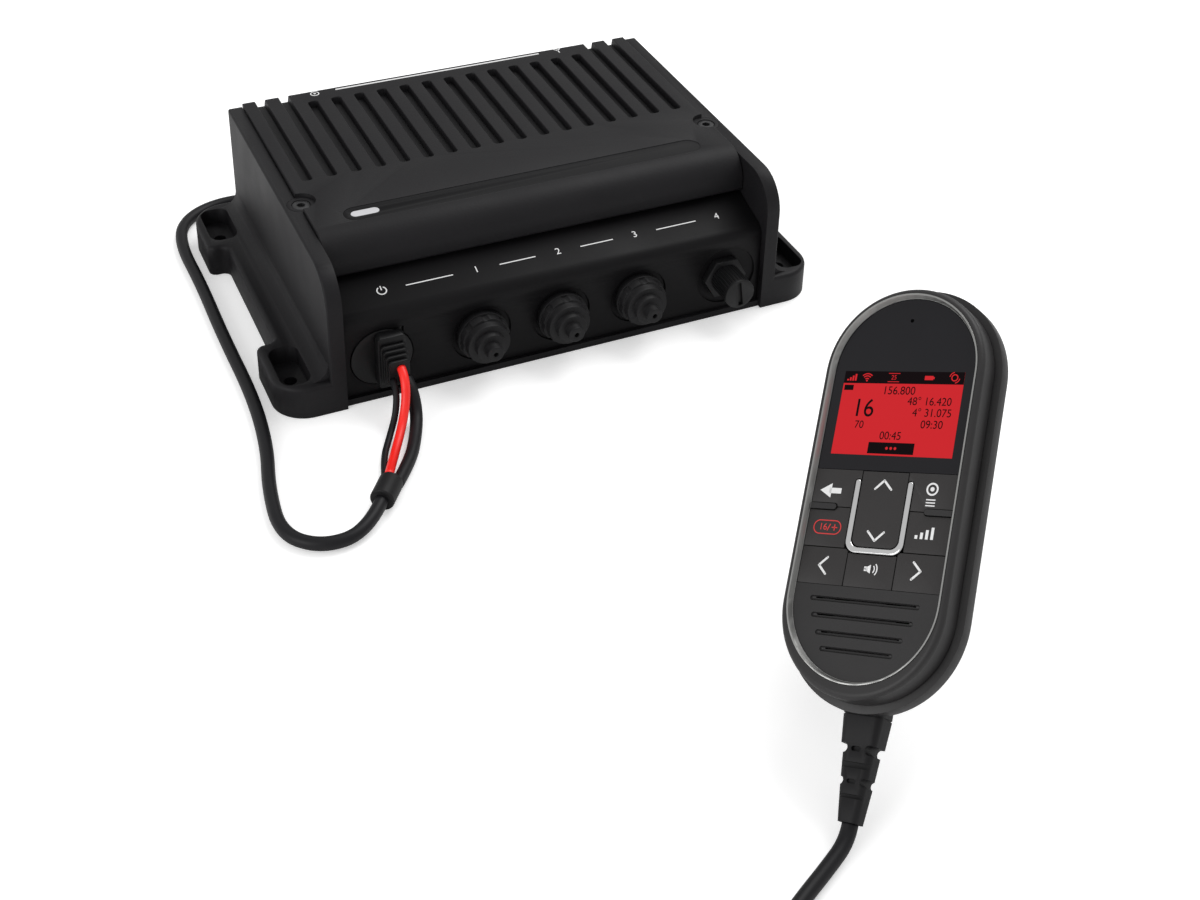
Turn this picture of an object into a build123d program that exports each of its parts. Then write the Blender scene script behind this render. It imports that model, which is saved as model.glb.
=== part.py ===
"""VHF marine radio: a black box transceiver, its power lead, and a handset on its hanger.

Millimetres, +Z up. The origin is the centre of the four mounting holes, on the base plane.
The connector face looks along -Y. The handset is built on its own tilted plane.
"""

import os
from math import cos, radians, sin, tan

from build123d import *

os.makedirs("parts", exist_ok=True)


# ---------------------------------------------------------------- driving sizes

# Case casting
cheek_half = 105.0
cheek_wall = 6.7
cheek_top = 66.2
cheek_corner = 17.0
back_inset = 3.5
case_wall = 3.0
floor_plate = 3.0
floor_lip = 1.5
flange_side = 13.4
flange_height = 15.0
flange_depth = 159.0
flange_cove = 8.0
flange_edge = 2.0
ear_side = 22.0
ear_length = 38.5
ear_corner = 15.0
ear_notch = 3.5
hole_side = 12.4
hole_end = 19.0
hole_radius = 2.75
pocket_width = 12.8
pocket_length = 28.0
pocket_corner = 5.0
pocket_floor = 7.0
seat_ledge = 4.0
seat_ledge_depth = 6.5

# Ribbed cover
cover_rise = 1.8
cover_plate = 6.0
cover_gap = 0.3
cover_lip = 3.5
nose_setback = 20.0
nose_bottom = 50.2
nose_radius = 13.0
groove_count = 17
groove_margin = 8.4
groove_width = 4.8
groove_depth = 3.4
groove_setback = 52.6
groove_end = 9.5
open_grooves = 2
rib_round = 0.5
gasket_thickness = 0.5
spreader_length = 90.0
spreader_width = 56.0

# Cover screws
screw_inset = 7.8
screw_setback = 37.0
screw_lug = 6.0
screw_notch = 0.4
screw_head = 3.8
screw_head_height = 2.4
screw_shank = 1.6
screw_length = 12.0
thread_gap = 0.05

# Connector face
face_inset = 3.5
face_wall = 3.2
face_top = 41.5
face_round = 6.0
shelf_depth = 19.0
shelf_back_z = 47.4
valley_depth = 25.2
valley_z = 49.2
port_z = 20.3
port_pitch = 37.1
outer_port_inset = 16.6
data_inset = 18.6
data_recess_shift = 1.3
recess_depth = 1.2
power_recess = 13.8
handset_recess = 13.4
data_recess = 14.4

# Handset and hub sockets with their push-on caps
port_flange = 11.0
port_flange_thick = 2.2
port_barrel = 8.0
port_depth = 14.0
port_bore = 5.6
port_bore_depth = 11.0
nut_flats = 20.0
nut_thick = 3.0
cap_radius = 11.4
cap_collar = 1.3
cap_waist = 0.6
cap_skirt = 5.0
cap_step = 3.4
cap_boss = 3.2
cap_nipple = 4.6
cap_spigot = 9.0
cap_lobes = 8
cap_travel = 22.0

# Data socket with its screwed blanking plug
data_flats = 18.0
data_nut_thick = 3.5
data_barrel = 5.97
data_barrel_length = 10.0
blank_radius = 7.1
blank_length = 13.6
blank_bore_gap = 0.08
blank_knurls = 30
blank_slot = 2.2

# Power socket and plug
shroud_width = 13.0
shroud_height = 25.6
shroud_wall = 1.5
shroud_depth = 12.0
power_flange = 13.4
power_flange_thick = 1.6
plug_width = 12.2
plug_height = 25.0
plug_block = 4.6
plug_rib = 1.4
plug_rib_gap = 0.8
plug_ribs = 4
plug_shift = 3.1
plug_fit = 0.3
contact_radius = 1.2

# Antenna sockets
antenna_z = 38.0
vhf_inset = 32.3
vhf_radius = 7.9
vhf_length = 15.0
gps_inset = 31.3
gps_radius = 3.2
gps_length = 9.0

# Inside the case
board_side = 10.3
board_front = 21.0
board_back = 13.0
board_thick = 1.6
board_height = 10.0
post_radius = 3.6
post_inset_x = 8.0
post_inset_y = 9.0
post_bore = 1.2
rf_length = 84.0
rf_width = 50.0
rf_height = 24.0
pad_thick = 1.0

# Label strip and status light
strip_inset = 14.0
strip_width = 11.0
strip_setback = 18.4
strip_depth = 0.5
strip_gap = 0.1
light_length = 12.5
light_width = 4.4
light_inset = 9.4

# Handset: place and tilt
handset_x = 24.8
handset_y = -288.2
handset_z = 82.7
hanger_heading = 188.9
hanger_tilt = 45.0
handset_spin = 32.3

# Handset: case
bezel_half_length = 67.5
bezel_half_width = 28.2
case_drop = 2.4
rim = 2.1
rim_bottom = 9.0
rim_top = 0.3
rim_round = 1.9
shell_wall = 2.6
face_drop = 2.0
face_plate_back = 4.2
ring_width = 1.3
ring_flat = 0.55
ring_slope = 18.0
ring_depth = 3.2
joint_gap = 0.8
back_offset = 4.6
back_straight = 4.7
back_depth = 28.0
back_taper = 40.0
back_round = 5.0
back_wall = 2.6
fit_gap = 0.15

# Handset: face
glass_bottom = 4.0
screen_x = 0.15
screen_y = 24.2
screen_width = 46.2
screen_height = 30.8
display_border = 3.6
display_depth = 3.6
keypad_bottom = -35.8
key_gap = 0.3
key_bottom = 4.4
key_rim = 0.3
row_1 = -9.2
row_2 = -23.1
centre_column = 9.2
ridge_inner = 16.6
ridge_width = 2.0
trim_x = 9.9
trim_width = 2.0
trim_top = -0.2
trim_bottom = -23.4
trim_corner = 4.2
trim_proud = 0.4
trim_round = 0.6
rocker_pivot = 0.6
rocker_ridge = 1.2
mat_gap = 0.8
mat_thick = 1.2
slot_rows = ((-40.4, 20.4), (-45.9, 18.9), (-51.5, 16.2), (-56.7, 13.5))
slot_width = 1.7
slit_width = 0.5
slit_rise = 0.35
mic_x = 0.0
mic_y = 58.0
mic_radius = 3.0
mic_hole = 0.7
speaker_y = -51.0
speaker_radius = 13.0
speaker_depth = 5.0
circuit_top = 9.8
circuit_thick = 1.6

# Handset: side and back
ptt_y = 14.0
ptt_length = 36.0
ptt_height = 4.6
ptt_z = -12.2
ptt_proud = 1.6
ptt_travel = 1.5
lug_y = 22.0
lug_base = 9.0
lug_base_thick = 2.0
lug_neck = 4.0
lug_neck_length = 4.2
lug_head = 8.0
lug_head_thick = 3.0
distress_y = 49.0
distress_radius = 3.6
distress_recess = 0.3
flap_length = 12.0
flap_width = 15.0
flap_thick = 1.6
flap_stand = 1.3
flap_pin = 1.1
case_screw_spots = ((-11.5, 48.5), (11.5, 48.5), (-14.6, -41.0), (14.6, -41.0))
case_screw_head = 2.4
case_screw_shank = 1.2

# Hanger bracket
hanger_half = 16.0
hanger_up = 10.0
hanger_down = 24.0
hanger_sheet = 2.0
hanger_bend = 4.0
hanger_slot_gap = 0.3
hanger_foot = 24.0
hanger_hole = 2.25
hanger_hole_pitch = 20.0

# Cord boot
boot_z = -17.0
boot_start = -64.0
boot_block_end = -83.5
boot_tip = -107.6
boot_width = 14.5
boot_height = 10.5
boot_neck = (11.8, 8.8)
boot_waist = (9.4, 7.8)
boot_tip_size = (7.2, 6.8)
boot_waist_at = 0.58
boot_seam = 10.0
side_notches = ((-85.0, 3.0, 3.2), (-95.1, 2.5, 3.0))
face_notches = ((-90.1, 1.8), (-99.7, 1.2))
face_notch_depth = 1.4

# Handset plug and its locking ring
plug_axis_height = 9.4
plug_relief = 8.0
plug_body = 15.0
plug_nose = 5.0
ring_outer = 9.0
ring_bore = 6.2
ring_fit = 0.07
ring_length = 13.0

# Cords
handset_cord_radius = 2.7
power_cable_radius = 2.8
red_wire_radius = 1.9
black_wire_radius = 2.7
thin_wire_radius = 1.4
sleeve_radius = 5.0
sleeve_length = 12.0
power_coil_radius = 31.0
power_coil_band = 8.0
power_coil_height = 11.2
handset_coil_radius = 29.5
handset_coil_band = 10.5
handset_coil_height = 10.8


# ---------------------------------------------------------------- derived sizes

cheek_inner = cheek_half - cheek_wall
cheek_front = -flange_depth / 2
case_back = flange_depth / 2 - back_inset
flange_half = cheek_half + flange_side
ear_half = cheek_half + ear_side
hole_pitch_x = 2 * (cheek_half + hole_side)
hole_pitch_y = flange_depth - 2 * hole_end
face_y = cheek_front + face_inset
shelf_back_y = face_y + shelf_depth
valley_y = face_y + valley_depth
nose_front = face_y + nose_setback
screw_x = cheek_half - screw_inset
screw_y = nose_front + screw_setback
cover_half = cheek_inner - cover_gap
groove_pitch = 2 * (cover_half - groove_margin) / (groove_count - 1)
groove_front = nose_front + groove_setback
groove_back = case_back - groove_end
strip_length = 2 * (cover_half - strip_inset)
strip_y = nose_front + strip_setback
light_x = light_inset - strip_length / 2
outer_port_x = cheek_inner - outer_port_inset
data_x = cheek_inner - data_inset
plug_x = plug_shift - outer_port_x
vhf_x = cheek_inner - vhf_inset
gps_x = gps_inset - cheek_inner
board_length = 2 * (cheek_inner - board_side)
board_width = case_back - board_back - face_y - board_front
board_y = (case_back - board_back + face_y + board_front) / 2
post_pitch_x = board_length / 2 - post_inset_x
post_pitch_y = board_width / 2 - post_inset_y
cover_top = cheek_top + cover_rise
cover_bottom = cover_top - cover_plate
seat_top = cover_bottom - gasket_thickness
port_floor = face_y + recess_depth
port_xs = (-port_pitch, 0.0, port_pitch)
board_top = board_height + board_thick
spreader_bottom = board_top + rf_height + pad_thick
cap_face = port_floor - port_flange_thick - 0.1
blank_face = port_floor - data_nut_thick - 0.2
plug_face = port_floor - power_flange_thick - 0.2
plug_end = plug_face - plug_block - plug_ribs * (plug_rib + plug_rib_gap)

heading = radians(hanger_heading)
tilt = radians(hanger_tilt)
spin = radians(handset_spin)
face_dir = Vector(cos(heading) * sin(tilt), sin(heading) * sin(tilt), cos(tilt))
uphill = Vector(-cos(heading) * cos(tilt), -sin(heading) * cos(tilt), sin(tilt))
level = uphill.cross(face_dir)
right_dir = level * cos(spin) + uphill * sin(spin)
top_dir = level * -sin(spin) + uphill * cos(spin)
handset_centre = Vector(handset_x, handset_y, handset_z)
HANDSET = Plane(origin=handset_centre, x_dir=right_dir, z_dir=face_dir)


def handset_point(x, y, z):
    """A point given in the handset's own plane."""
    return handset_centre + right_dir * x + top_dir * y + face_dir * z


def save(piece, name):
    """Label a finished piece and write its STEP file."""
    piece.part.label = name
    export_step(piece.part, f"parts/{name}.step")


# ---------------------------------------------------------------- case casting

cheek_profile = (
    (cheek_front, 0),
    (cheek_front, cheek_top),
    (case_back, cheek_top),
    (case_back, 0),
)

with BuildPart() as chassis:
    with BuildSketch() as footprint:
        Rectangle(2 * flange_half, flange_depth)
        with Locations(
            (0, (flange_depth - ear_length) / 2),
            (0, (ear_length - flange_depth) / 2),
        ):
            Rectangle(2 * ear_half, ear_length)
        fillet(
            footprint.vertices().filter_by(lambda v: abs(v.Y) > flange_depth / 2 - 1),
            radius=ear_corner,
        )
        fillet(
            footprint.vertices().filter_by(lambda v: abs(v.Y) < flange_depth / 2 - ear_length + 1),
            radius=ear_notch,
        )
    extrude(amount=flange_height)
    fillet(chassis.faces().sort_by(Axis.Z)[-1].edges(), radius=flange_edge)
    with BuildSketch(Plane.YZ.offset(-cheek_half)) as side:
        with BuildLine():
            Polyline(*cheek_profile, close=True)
        make_face()
        front_top = side.vertices().sort_by_distance((cheek_front, cheek_top, 0))[0]
        fillet(front_top, radius=cheek_corner)
    extrude(amount=2 * cheek_half)
    fillet(
        chassis.edges().filter_by(
            lambda e: abs(abs(e.center().X) - cheek_half) < 0.1
            and e.center().Z > flange_height + 2
        ),
        radius=1.0,
    )
    # Coves between the cheeks and the flange
    with BuildSketch(Plane.XZ.offset(-case_back + 1)):
        with Locations(
            (cheek_half + flange_cove / 2, flange_height + flange_cove / 2),
            (-cheek_half - flange_cove / 2, flange_height + flange_cove / 2),
        ):
            Rectangle(flange_cove, flange_cove)
        with Locations(
            (cheek_half + flange_cove, flange_height + flange_cove),
            (-cheek_half - flange_cove, flange_height + flange_cove),
        ):
            Circle(flange_cove, mode=Mode.SUBTRACT)
    extrude(amount=case_back - cheek_front - 4)
    # The hollow, open at the top and at the front
    with BuildSketch(Plane.XY.offset(floor_plate)):
        with Locations((0, (case_back - case_wall + cheek_front - 10) / 2)):
            Rectangle(2 * cheek_inner, case_back - case_wall - cheek_front + 10)
    extrude(amount=cheek_top + 10, mode=Mode.SUBTRACT)
    with BuildSketch():
        with Locations((0, face_y - floor_lip - 20)):
            Rectangle(2 * cheek_inner, 40)
    extrude(amount=cheek_top, mode=Mode.SUBTRACT)
    with BuildSketch(Plane.XY.offset(seat_top)):
        with Locations((0, case_back)):
            Rectangle(2 * cheek_inner, 4 * case_wall)
    extrude(amount=20, mode=Mode.SUBTRACT)
    # Ledges and screw seats that carry the cover
    with BuildSketch(Plane.XY.offset(seat_top)):
        ledge_run = case_back - case_wall - nose_front - 12
        with Locations(
            (cheek_inner - seat_ledge / 2, case_back - case_wall - ledge_run / 2),
            (seat_ledge / 2 - cheek_inner, case_back - case_wall - ledge_run / 2),
        ):
            Rectangle(seat_ledge, ledge_run)
    extrude(amount=-seat_ledge_depth)
    with BuildSketch(Plane.XY.offset(seat_top)):
        with Locations((screw_x, screw_y), (-screw_x, screw_y)):
            Circle(screw_lug)
    extrude(amount=-screw_length)
    with BuildSketch(Plane.XY.offset(seat_top)):
        with Locations((screw_x, screw_y), (-screw_x, screw_y)):
            Circle(screw_lug + cover_gap / 2)
    extrude(amount=cheek_top, mode=Mode.SUBTRACT)
    with BuildSketch(Plane.XY.offset(seat_top)):
        with Locations((screw_x, screw_y), (-screw_x, screw_y)):
            Circle(screw_shank + thread_gap)
    extrude(amount=-screw_length + 1, mode=Mode.SUBTRACT)
    # Posts under the board
    with BuildSketch(Plane.XY.offset(floor_plate)):
        with Locations((0, board_y)):
            with GridLocations(post_pitch_x, 2 * post_pitch_y, 3, 2):
                Circle(post_radius)
    extrude(amount=board_height - floor_plate)
    with BuildSketch(Plane.XY.offset(board_height)):
        with Locations((0, board_y)):
            with GridLocations(post_pitch_x, 2 * post_pitch_y, 3, 2):
                Circle(post_bore + thread_gap)
    extrude(amount=-6, mode=Mode.SUBTRACT)
    # Mounting pockets and holes in the ears
    with BuildSketch(Plane.XY.offset(pocket_floor)):
        with GridLocations(hole_pitch_x, hole_pitch_y, 2, 2):
            RectangleRounded(pocket_width, pocket_length, pocket_corner)
    extrude(amount=2 * flange_height, mode=Mode.SUBTRACT)
    with BuildSketch():
        with GridLocations(hole_pitch_x, hole_pitch_y, 2, 2):
            Circle(hole_radius)
    extrude(amount=pocket_floor, mode=Mode.SUBTRACT)
    # Antenna socket holes in the back wall
    with BuildSketch(Plane.XZ.offset(-case_back - 1)):
        with Locations((vhf_x, antenna_z)):
            Circle(vhf_radius - 1)
        with Locations((gps_x, antenna_z)):
            Circle(gps_radius)
    extrude(amount=2 * case_wall, mode=Mode.SUBTRACT)
save(chassis, "chassis")


# ---------------------------------------------------------------- ribbed cover

nose_profile = (
    (case_back, cover_bottom),
    (case_back, cover_top),
    (nose_front, cover_top),
    (nose_front, nose_bottom),
    (nose_front + cover_lip, nose_bottom),
    (nose_front + cover_lip, cover_bottom - cover_plate),
    (nose_front + cover_lip + cover_plate, cover_bottom),
)

with BuildPart() as top_cover:
    with BuildSketch(Plane.YZ.offset(-cover_half)) as lid_side:
        with BuildLine():
            Polyline(*nose_profile, close=True)
        make_face()
        nose_corner = lid_side.vertices().sort_by_distance((nose_front, cover_top, 0))[0]
        fillet(nose_corner, radius=nose_radius)
        lip_corner = lid_side.vertices().sort_by_distance((nose_front, nose_bottom, 0))[0]
        fillet(lip_corner, radius=1.5)
    extrude(amount=2 * cover_half)
    # Cooling grooves, the outer ones open at the back
    with BuildSketch(Plane.XY.offset(cover_top)):
        for index in range(groove_count):
            outer = index < open_grooves or index >= groove_count - open_grooves
            back_end = case_back + 10 if outer else groove_back
            with Locations(
                ((index - (groove_count - 1) / 2) * groove_pitch, (groove_front + back_end) / 2)
            ):
                RectangleRounded(groove_width, back_end - groove_front, 1.6)
    extrude(amount=-groove_depth, taper=8, mode=Mode.SUBTRACT)
    fillet(
        top_cover.edges().filter_by(lambda e: abs(e.center().Z - cover_top) < 0.01),
        radius=rib_round,
    )
    # Screw lugs at cheek height inside round notches
    with BuildSketch(Plane.XY.offset(cheek_top)):
        with Locations((screw_x, screw_y), (-screw_x, screw_y)):
            Circle(screw_lug + screw_notch)
    extrude(amount=cover_rise + 1, mode=Mode.SUBTRACT)
    with BuildSketch(Plane.XY.offset(cover_bottom)):
        with Locations((screw_x, screw_y), (-screw_x, screw_y)):
            Circle(screw_lug)
    extrude(amount=cheek_top - cover_bottom)
    with Locations((screw_x, screw_y, cheek_top), (-screw_x, screw_y, cheek_top)):
        CounterBoreHole(screw_shank + 0.4, screw_head + 0.25, screw_head_height + 0.2, 20)
    # Heat spreader that reaches down to the amplifier
    with BuildSketch(Plane.XY.offset(spreader_bottom)):
        with Locations((0, board_y)):
            RectangleRounded(spreader_length, spreader_width, 4)
    extrude(amount=cover_bottom + 0.5 - spreader_bottom)
    # Seat for the label strip
    with BuildSketch(Plane.XY.offset(cover_top)):
        with Locations((0, strip_y)):
            SlotOverall(strip_length, strip_width)
    extrude(amount=-strip_depth, mode=Mode.SUBTRACT)
    with BuildSketch(Plane.XY.offset(cover_top)):
        with Locations((light_x, strip_y)):
            SlotOverall(light_length + 2 * strip_gap, light_width + 2 * strip_gap)
    extrude(amount=-cover_plate - 1, mode=Mode.SUBTRACT)
save(top_cover, "top_cover")

with BuildPart() as cover_gasket:
    with BuildSketch(Plane.XY.offset(seat_top)):
        gasket_run = case_back - nose_front - 16
        with Locations((0, case_back - 0.4 - gasket_run / 2)):
            Rectangle(2 * cheek_inner - 1.0, gasket_run)
            Rectangle(2 * (cheek_inner - seat_ledge) + 1.0, gasket_run, mode=Mode.SUBTRACT)
        with Locations((0, case_back - case_wall / 2)):
            Rectangle(2 * cheek_inner - 1.0, case_wall - 0.8)
        with Locations((screw_x, screw_y), (-screw_x, screw_y)):
            Circle(screw_lug - 0.3)
            Circle(screw_shank + 0.4, mode=Mode.SUBTRACT)
    extrude(amount=gasket_thickness)
save(cover_gasket, "cover_gasket")

with BuildPart() as cover_screws:
    with BuildSketch(Plane.XY.offset(cheek_top - 0.2)):
        with Locations((screw_x, screw_y), (-screw_x, screw_y)):
            Circle(screw_head)
    extrude(amount=-screw_head_height)
    with BuildSketch(Plane.XY.offset(cheek_top - 0.2)):
        with Locations((screw_x, screw_y), (-screw_x, screw_y)):
            RegularPolygon(1.9, 6)
    extrude(amount=-screw_head_height + 0.6, mode=Mode.SUBTRACT)
    with BuildSketch(Plane.XY.offset(cheek_top - screw_head_height - 0.2)):
        with Locations((screw_x, screw_y), (-screw_x, screw_y)):
            Circle(screw_shank)
    extrude(amount=-screw_length)
save(cover_screws, "cover_screws")

with BuildPart() as label_strip:
    with BuildSketch(Plane.XY.offset(cover_top - strip_depth)):
        with Locations((0, strip_y)):
            SlotOverall(strip_length - 2 * strip_gap, strip_width - 2 * strip_gap)
        with Locations((light_x, strip_y)):
            SlotOverall(light_length + 2 * strip_gap, light_width + 2 * strip_gap, mode=Mode.SUBTRACT)
    extrude(amount=strip_depth - 0.1)
save(label_strip, "label_strip")

with BuildPart() as status_light_pipe:
    with BuildSketch(Plane.XY.offset(cover_top)):
        with Locations((light_x, strip_y)):
            SlotOverall(light_length, light_width)
    extrude(amount=-cover_plate - 2)
save(status_light_pipe, "status_light_pipe")


# ---------------------------------------------------------------- connector face

face_profile = (
    (face_y, floor_plate),
    (face_y, face_top),
    (shelf_back_y, shelf_back_z),
    (valley_y, valley_z),
    (valley_y, valley_z - face_wall),
    (shelf_back_y, shelf_back_z - face_wall),
    (face_y + face_wall, face_top - face_wall / 2),
    (face_y + face_wall, floor_plate),
)

with BuildPart() as front_panel:
    with BuildSketch(Plane.YZ.offset(-cover_half)) as panel_side:
        with BuildLine():
            Polyline(*face_profile, close=True)
        make_face()
        shelf_edge = panel_side.vertices().sort_by_distance((face_y, face_top, 0))[0]
        fillet(shelf_edge, radius=face_round)
    extrude(amount=2 * cover_half)
    with BuildSketch(Plane.XZ.offset(-face_y)):
        with Locations(*[(x, port_z) for x in port_xs]):
            Circle(handset_recess)
        with Locations((-outer_port_x, port_z)):
            Circle(power_recess)
        with Locations((data_x + data_recess_shift, port_z)):
            Circle(data_recess)
    extrude(amount=-recess_depth, mode=Mode.SUBTRACT)
    with BuildSketch(Plane.XZ.offset(-face_y)):
        with Locations(*[(x, port_z) for x in port_xs]):
            Circle(port_barrel + 0.2)
        with Locations((data_x, port_z)):
            Circle(port_barrel + 0.2)
        with Locations((plug_x, port_z)):
            Rectangle(shroud_width + 0.4, shroud_height + 0.4)
    extrude(amount=-2 * face_wall, mode=Mode.SUBTRACT)
save(front_panel, "front_panel")


def round_port(x):
    """A flanged round socket that passes through the connector face."""
    with BuildPart() as port:
        with BuildSketch(Plane.XZ.offset(-port_floor)):
            with Locations((x, port_z)):
                Circle(port_flange)
        extrude(amount=port_flange_thick)
        with BuildSketch(Plane.XZ.offset(-port_floor)):
            with Locations((x, port_z)):
                Circle(port_barrel)
        extrude(amount=-port_depth)
        with BuildSketch(Plane.XZ.offset(-port_floor + port_flange_thick)):
            with Locations((x, port_z)):
                Circle(port_bore)
        extrude(amount=-port_bore_depth, mode=Mode.SUBTRACT)
        # Contact pins on the floor of the bore
        with BuildSketch(Plane.XZ.offset(-port_floor + port_flange_thick - port_bore_depth)):
            with Locations((x, port_z)):
                with PolarLocations(2.8, 6):
                    Circle(0.5)
        extrude(amount=1.4)
    return port


for port_name, port_x in zip(("handset_port_1", "handset_port_2", "hub_port"), port_xs):
    save(round_port(port_x), port_name)

with BuildPart() as data_port:
    with BuildSketch(Plane.XZ.offset(-port_floor)):
        with Locations((data_x, port_z)):
            RegularPolygon(data_flats / 2, 6, major_radius=False)
    extrude(amount=data_nut_thick)
    with BuildSketch(Plane.XZ.offset(-port_floor)):
        with Locations((data_x, port_z)):
            Circle(port_barrel)
    extrude(amount=-port_depth)
    with BuildSketch(Plane.XZ.offset(-port_floor + data_nut_thick)):
        with Locations((data_x, port_z)):
            Circle(data_barrel)
    extrude(amount=data_barrel_length)
    with BuildSketch(Plane.XZ.offset(-port_floor + data_nut_thick + data_barrel_length)):
        with Locations((data_x, port_z)):
            Circle(data_barrel - 1.4)
    extrude(amount=-8, mode=Mode.SUBTRACT)
    with BuildSketch(Plane.XZ.offset(-port_floor + data_nut_thick + data_barrel_length - 8)):
        with Locations((data_x, port_z)):
            with PolarLocations(2.5, 4):
                Circle(0.5)
            Circle(0.5)
    extrude(amount=5)
save(data_port, "data_port")

with BuildPart() as port_nuts:
    with BuildSketch(Plane.XZ.offset(-face_y - face_wall)):
        with Locations(*[(x, port_z) for x in port_xs + (data_x,)]):
            RegularPolygon(nut_flats / 2, 6, major_radius=False)
            Circle(port_barrel + thread_gap, mode=Mode.SUBTRACT)
    extrude(amount=-nut_thick)
save(port_nuts, "port_nuts")

with BuildPart() as power_socket:
    with BuildSketch(Plane.XZ.offset(-port_floor)):
        with Locations((-outer_port_x, port_z)):
            Circle(power_flange)
        with Locations((plug_x, port_z)):
            Rectangle(
                shroud_width - 2 * shroud_wall,
                shroud_height - 2 * shroud_wall,
                mode=Mode.SUBTRACT,
            )
    extrude(amount=power_flange_thick)
    with BuildSketch(Plane.XZ.offset(-port_floor)):
        with Locations((plug_x, port_z)):
            Rectangle(shroud_width, shroud_height)
            Rectangle(
                shroud_width - 2 * shroud_wall,
                shroud_height - 2 * shroud_wall,
                mode=Mode.SUBTRACT,
            )
    extrude(amount=-shroud_depth)
    with BuildSketch(Plane.XZ.offset(-port_floor - shroud_depth)):
        with Locations((plug_x, port_z)):
            Rectangle(shroud_width, shroud_height)
    extrude(amount=-2)
    with BuildSketch(Plane.XZ.offset(-port_floor - shroud_depth)):
        with Locations((plug_x, port_z - 5), (plug_x, port_z + 5)):
            Circle(contact_radius)
    extrude(amount=shroud_depth - 3)
save(power_socket, "power_socket")


# ---------------------------------------------------------------- port caps

def dust_cap(x):
    """A rubber cap with a collar, a lobed skirt, a stepped boss and a pierced nipple."""
    with BuildPart() as cap:
        with BuildSketch(Plane.XZ.offset(-cap_face)):
            with Locations((x, port_z)):
                Circle(cap_radius)
        extrude(amount=cap_collar)
        with BuildSketch(Plane.XZ.offset(-cap_face + cap_collar)):
            with Locations((x, port_z)):
                Circle(cap_radius - cap_waist)
                with PolarLocations(cap_radius + 1.2, cap_lobes):
                    Circle(2.5, mode=Mode.SUBTRACT)
        extrude(amount=cap_skirt - cap_collar)
        with BuildSketch(Plane.XZ.offset(-cap_face + cap_skirt)):
            with Locations((x, port_z)):
                Circle(cap_radius - 1.6)
        extrude(amount=cap_step, taper=6)
        with BuildSketch(Plane.XZ.offset(-cap_face + cap_skirt + cap_step)):
            with Locations((x, port_z)):
                Circle(cap_radius * 0.58)
        extrude(amount=cap_boss)
        with BuildSketch(Plane.XZ.offset(-cap_face + cap_skirt + cap_step + cap_boss)):
            with Locations((x, port_z)):
                Circle(cap_radius * 0.32)
        extrude(amount=cap_nipple)
        fillet(
            cap.edges().filter_by(GeomType.CIRCLE).group_by(Axis.Y)[0],
            radius=0.6,
        )
        with BuildSketch(
            Plane.XZ.offset(-cap_face + cap_skirt + cap_step + cap_boss + cap_nipple)
        ):
            with Locations((x, port_z)):
                Circle(1.1)
        extrude(amount=-2.5, mode=Mode.SUBTRACT)
        with BuildSketch(Plane.XZ.offset(-cap_face)):
            with Locations((x, port_z)):
                Circle(port_bore - 0.2)
        extrude(amount=-cap_spigot)
    return cap


for cap_index, port_x in enumerate(port_xs, start=1):
    save(dust_cap(port_x), f"dust_cap_{cap_index}")

with BuildPart() as blanking_plug:
    with BuildSketch(Plane.XZ.offset(-blank_face)):
        with Locations((data_x, port_z)):
            Circle(blank_radius)
            with PolarLocations(blank_radius + 0.25, blank_knurls):
                Circle(0.55, mode=Mode.SUBTRACT)
    extrude(amount=blank_length - 1.6)
    with BuildSketch(Plane.XZ.offset(-blank_face + blank_length - 1.6)):
        with Locations((data_x, port_z)):
            Circle(blank_radius)
    extrude(amount=1.6)
    with BuildSketch(Plane.XZ.offset(-blank_face)):
        with Locations((data_x, port_z)):
            Circle(data_barrel + blank_bore_gap)
    extrude(amount=data_barrel_length + 0.4, mode=Mode.SUBTRACT)
    with BuildSketch(Plane.XZ.offset(-blank_face + blank_length)):
        with Locations((data_x, port_z)):
            Rectangle(blank_slot, 1.7 * blank_radius, rotation=8)
    extrude(amount=-1.4, mode=Mode.SUBTRACT)
save(blanking_plug, "blanking_plug")


# ---------------------------------------------------------------- antenna sockets

with BuildPart() as vhf_antenna_socket:
    with BuildSketch(Plane.XZ.offset(-case_back)):
        with Locations((vhf_x, antenna_z)):
            RectangleRounded(25, 25, 3)
    extrude(amount=-2)
    with BuildSketch(Plane.XZ.offset(-case_back)):
        with Locations((vhf_x, antenna_z)):
            Circle(vhf_radius)
    extrude(amount=-vhf_length - 2)
    with BuildSketch(Plane.XZ.offset(-case_back)):
        with Locations((vhf_x, antenna_z)):
            Circle(vhf_radius - 1.1)
    extrude(amount=case_wall + 6)
    with BuildSketch(Plane.XZ.offset(-case_back - vhf_length - 2)):
        with Locations((vhf_x, antenna_z)):
            Circle(5.6)
            Circle(3.6, mode=Mode.SUBTRACT)
            Circle(2.0)
    extrude(amount=9, mode=Mode.SUBTRACT)
save(vhf_antenna_socket, "vhf_antenna_socket")

with BuildPart() as gps_antenna_socket:
    with BuildSketch(Plane.XZ.offset(-case_back)):
        with Locations((gps_x, antenna_z)):
            RegularPolygon(5.5, 6)
    extrude(amount=-2)
    with BuildSketch(Plane.XZ.offset(-case_back)):
        with Locations((gps_x, antenna_z)):
            Circle(gps_radius)
    extrude(amount=-gps_length - 2)
    with BuildSketch(Plane.XZ.offset(-case_back)):
        with Locations((gps_x, antenna_z)):
            Circle(gps_radius - 0.1)
    extrude(amount=case_wall + 4)
    with BuildSketch(Plane.XZ.offset(-case_back - gps_length - 2)):
        with Locations((gps_x, antenna_z)):
            Circle(2.2)
            Circle(1.2, mode=Mode.SUBTRACT)
    extrude(amount=6, mode=Mode.SUBTRACT)
save(gps_antenna_socket, "gps_antenna_socket")


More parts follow.
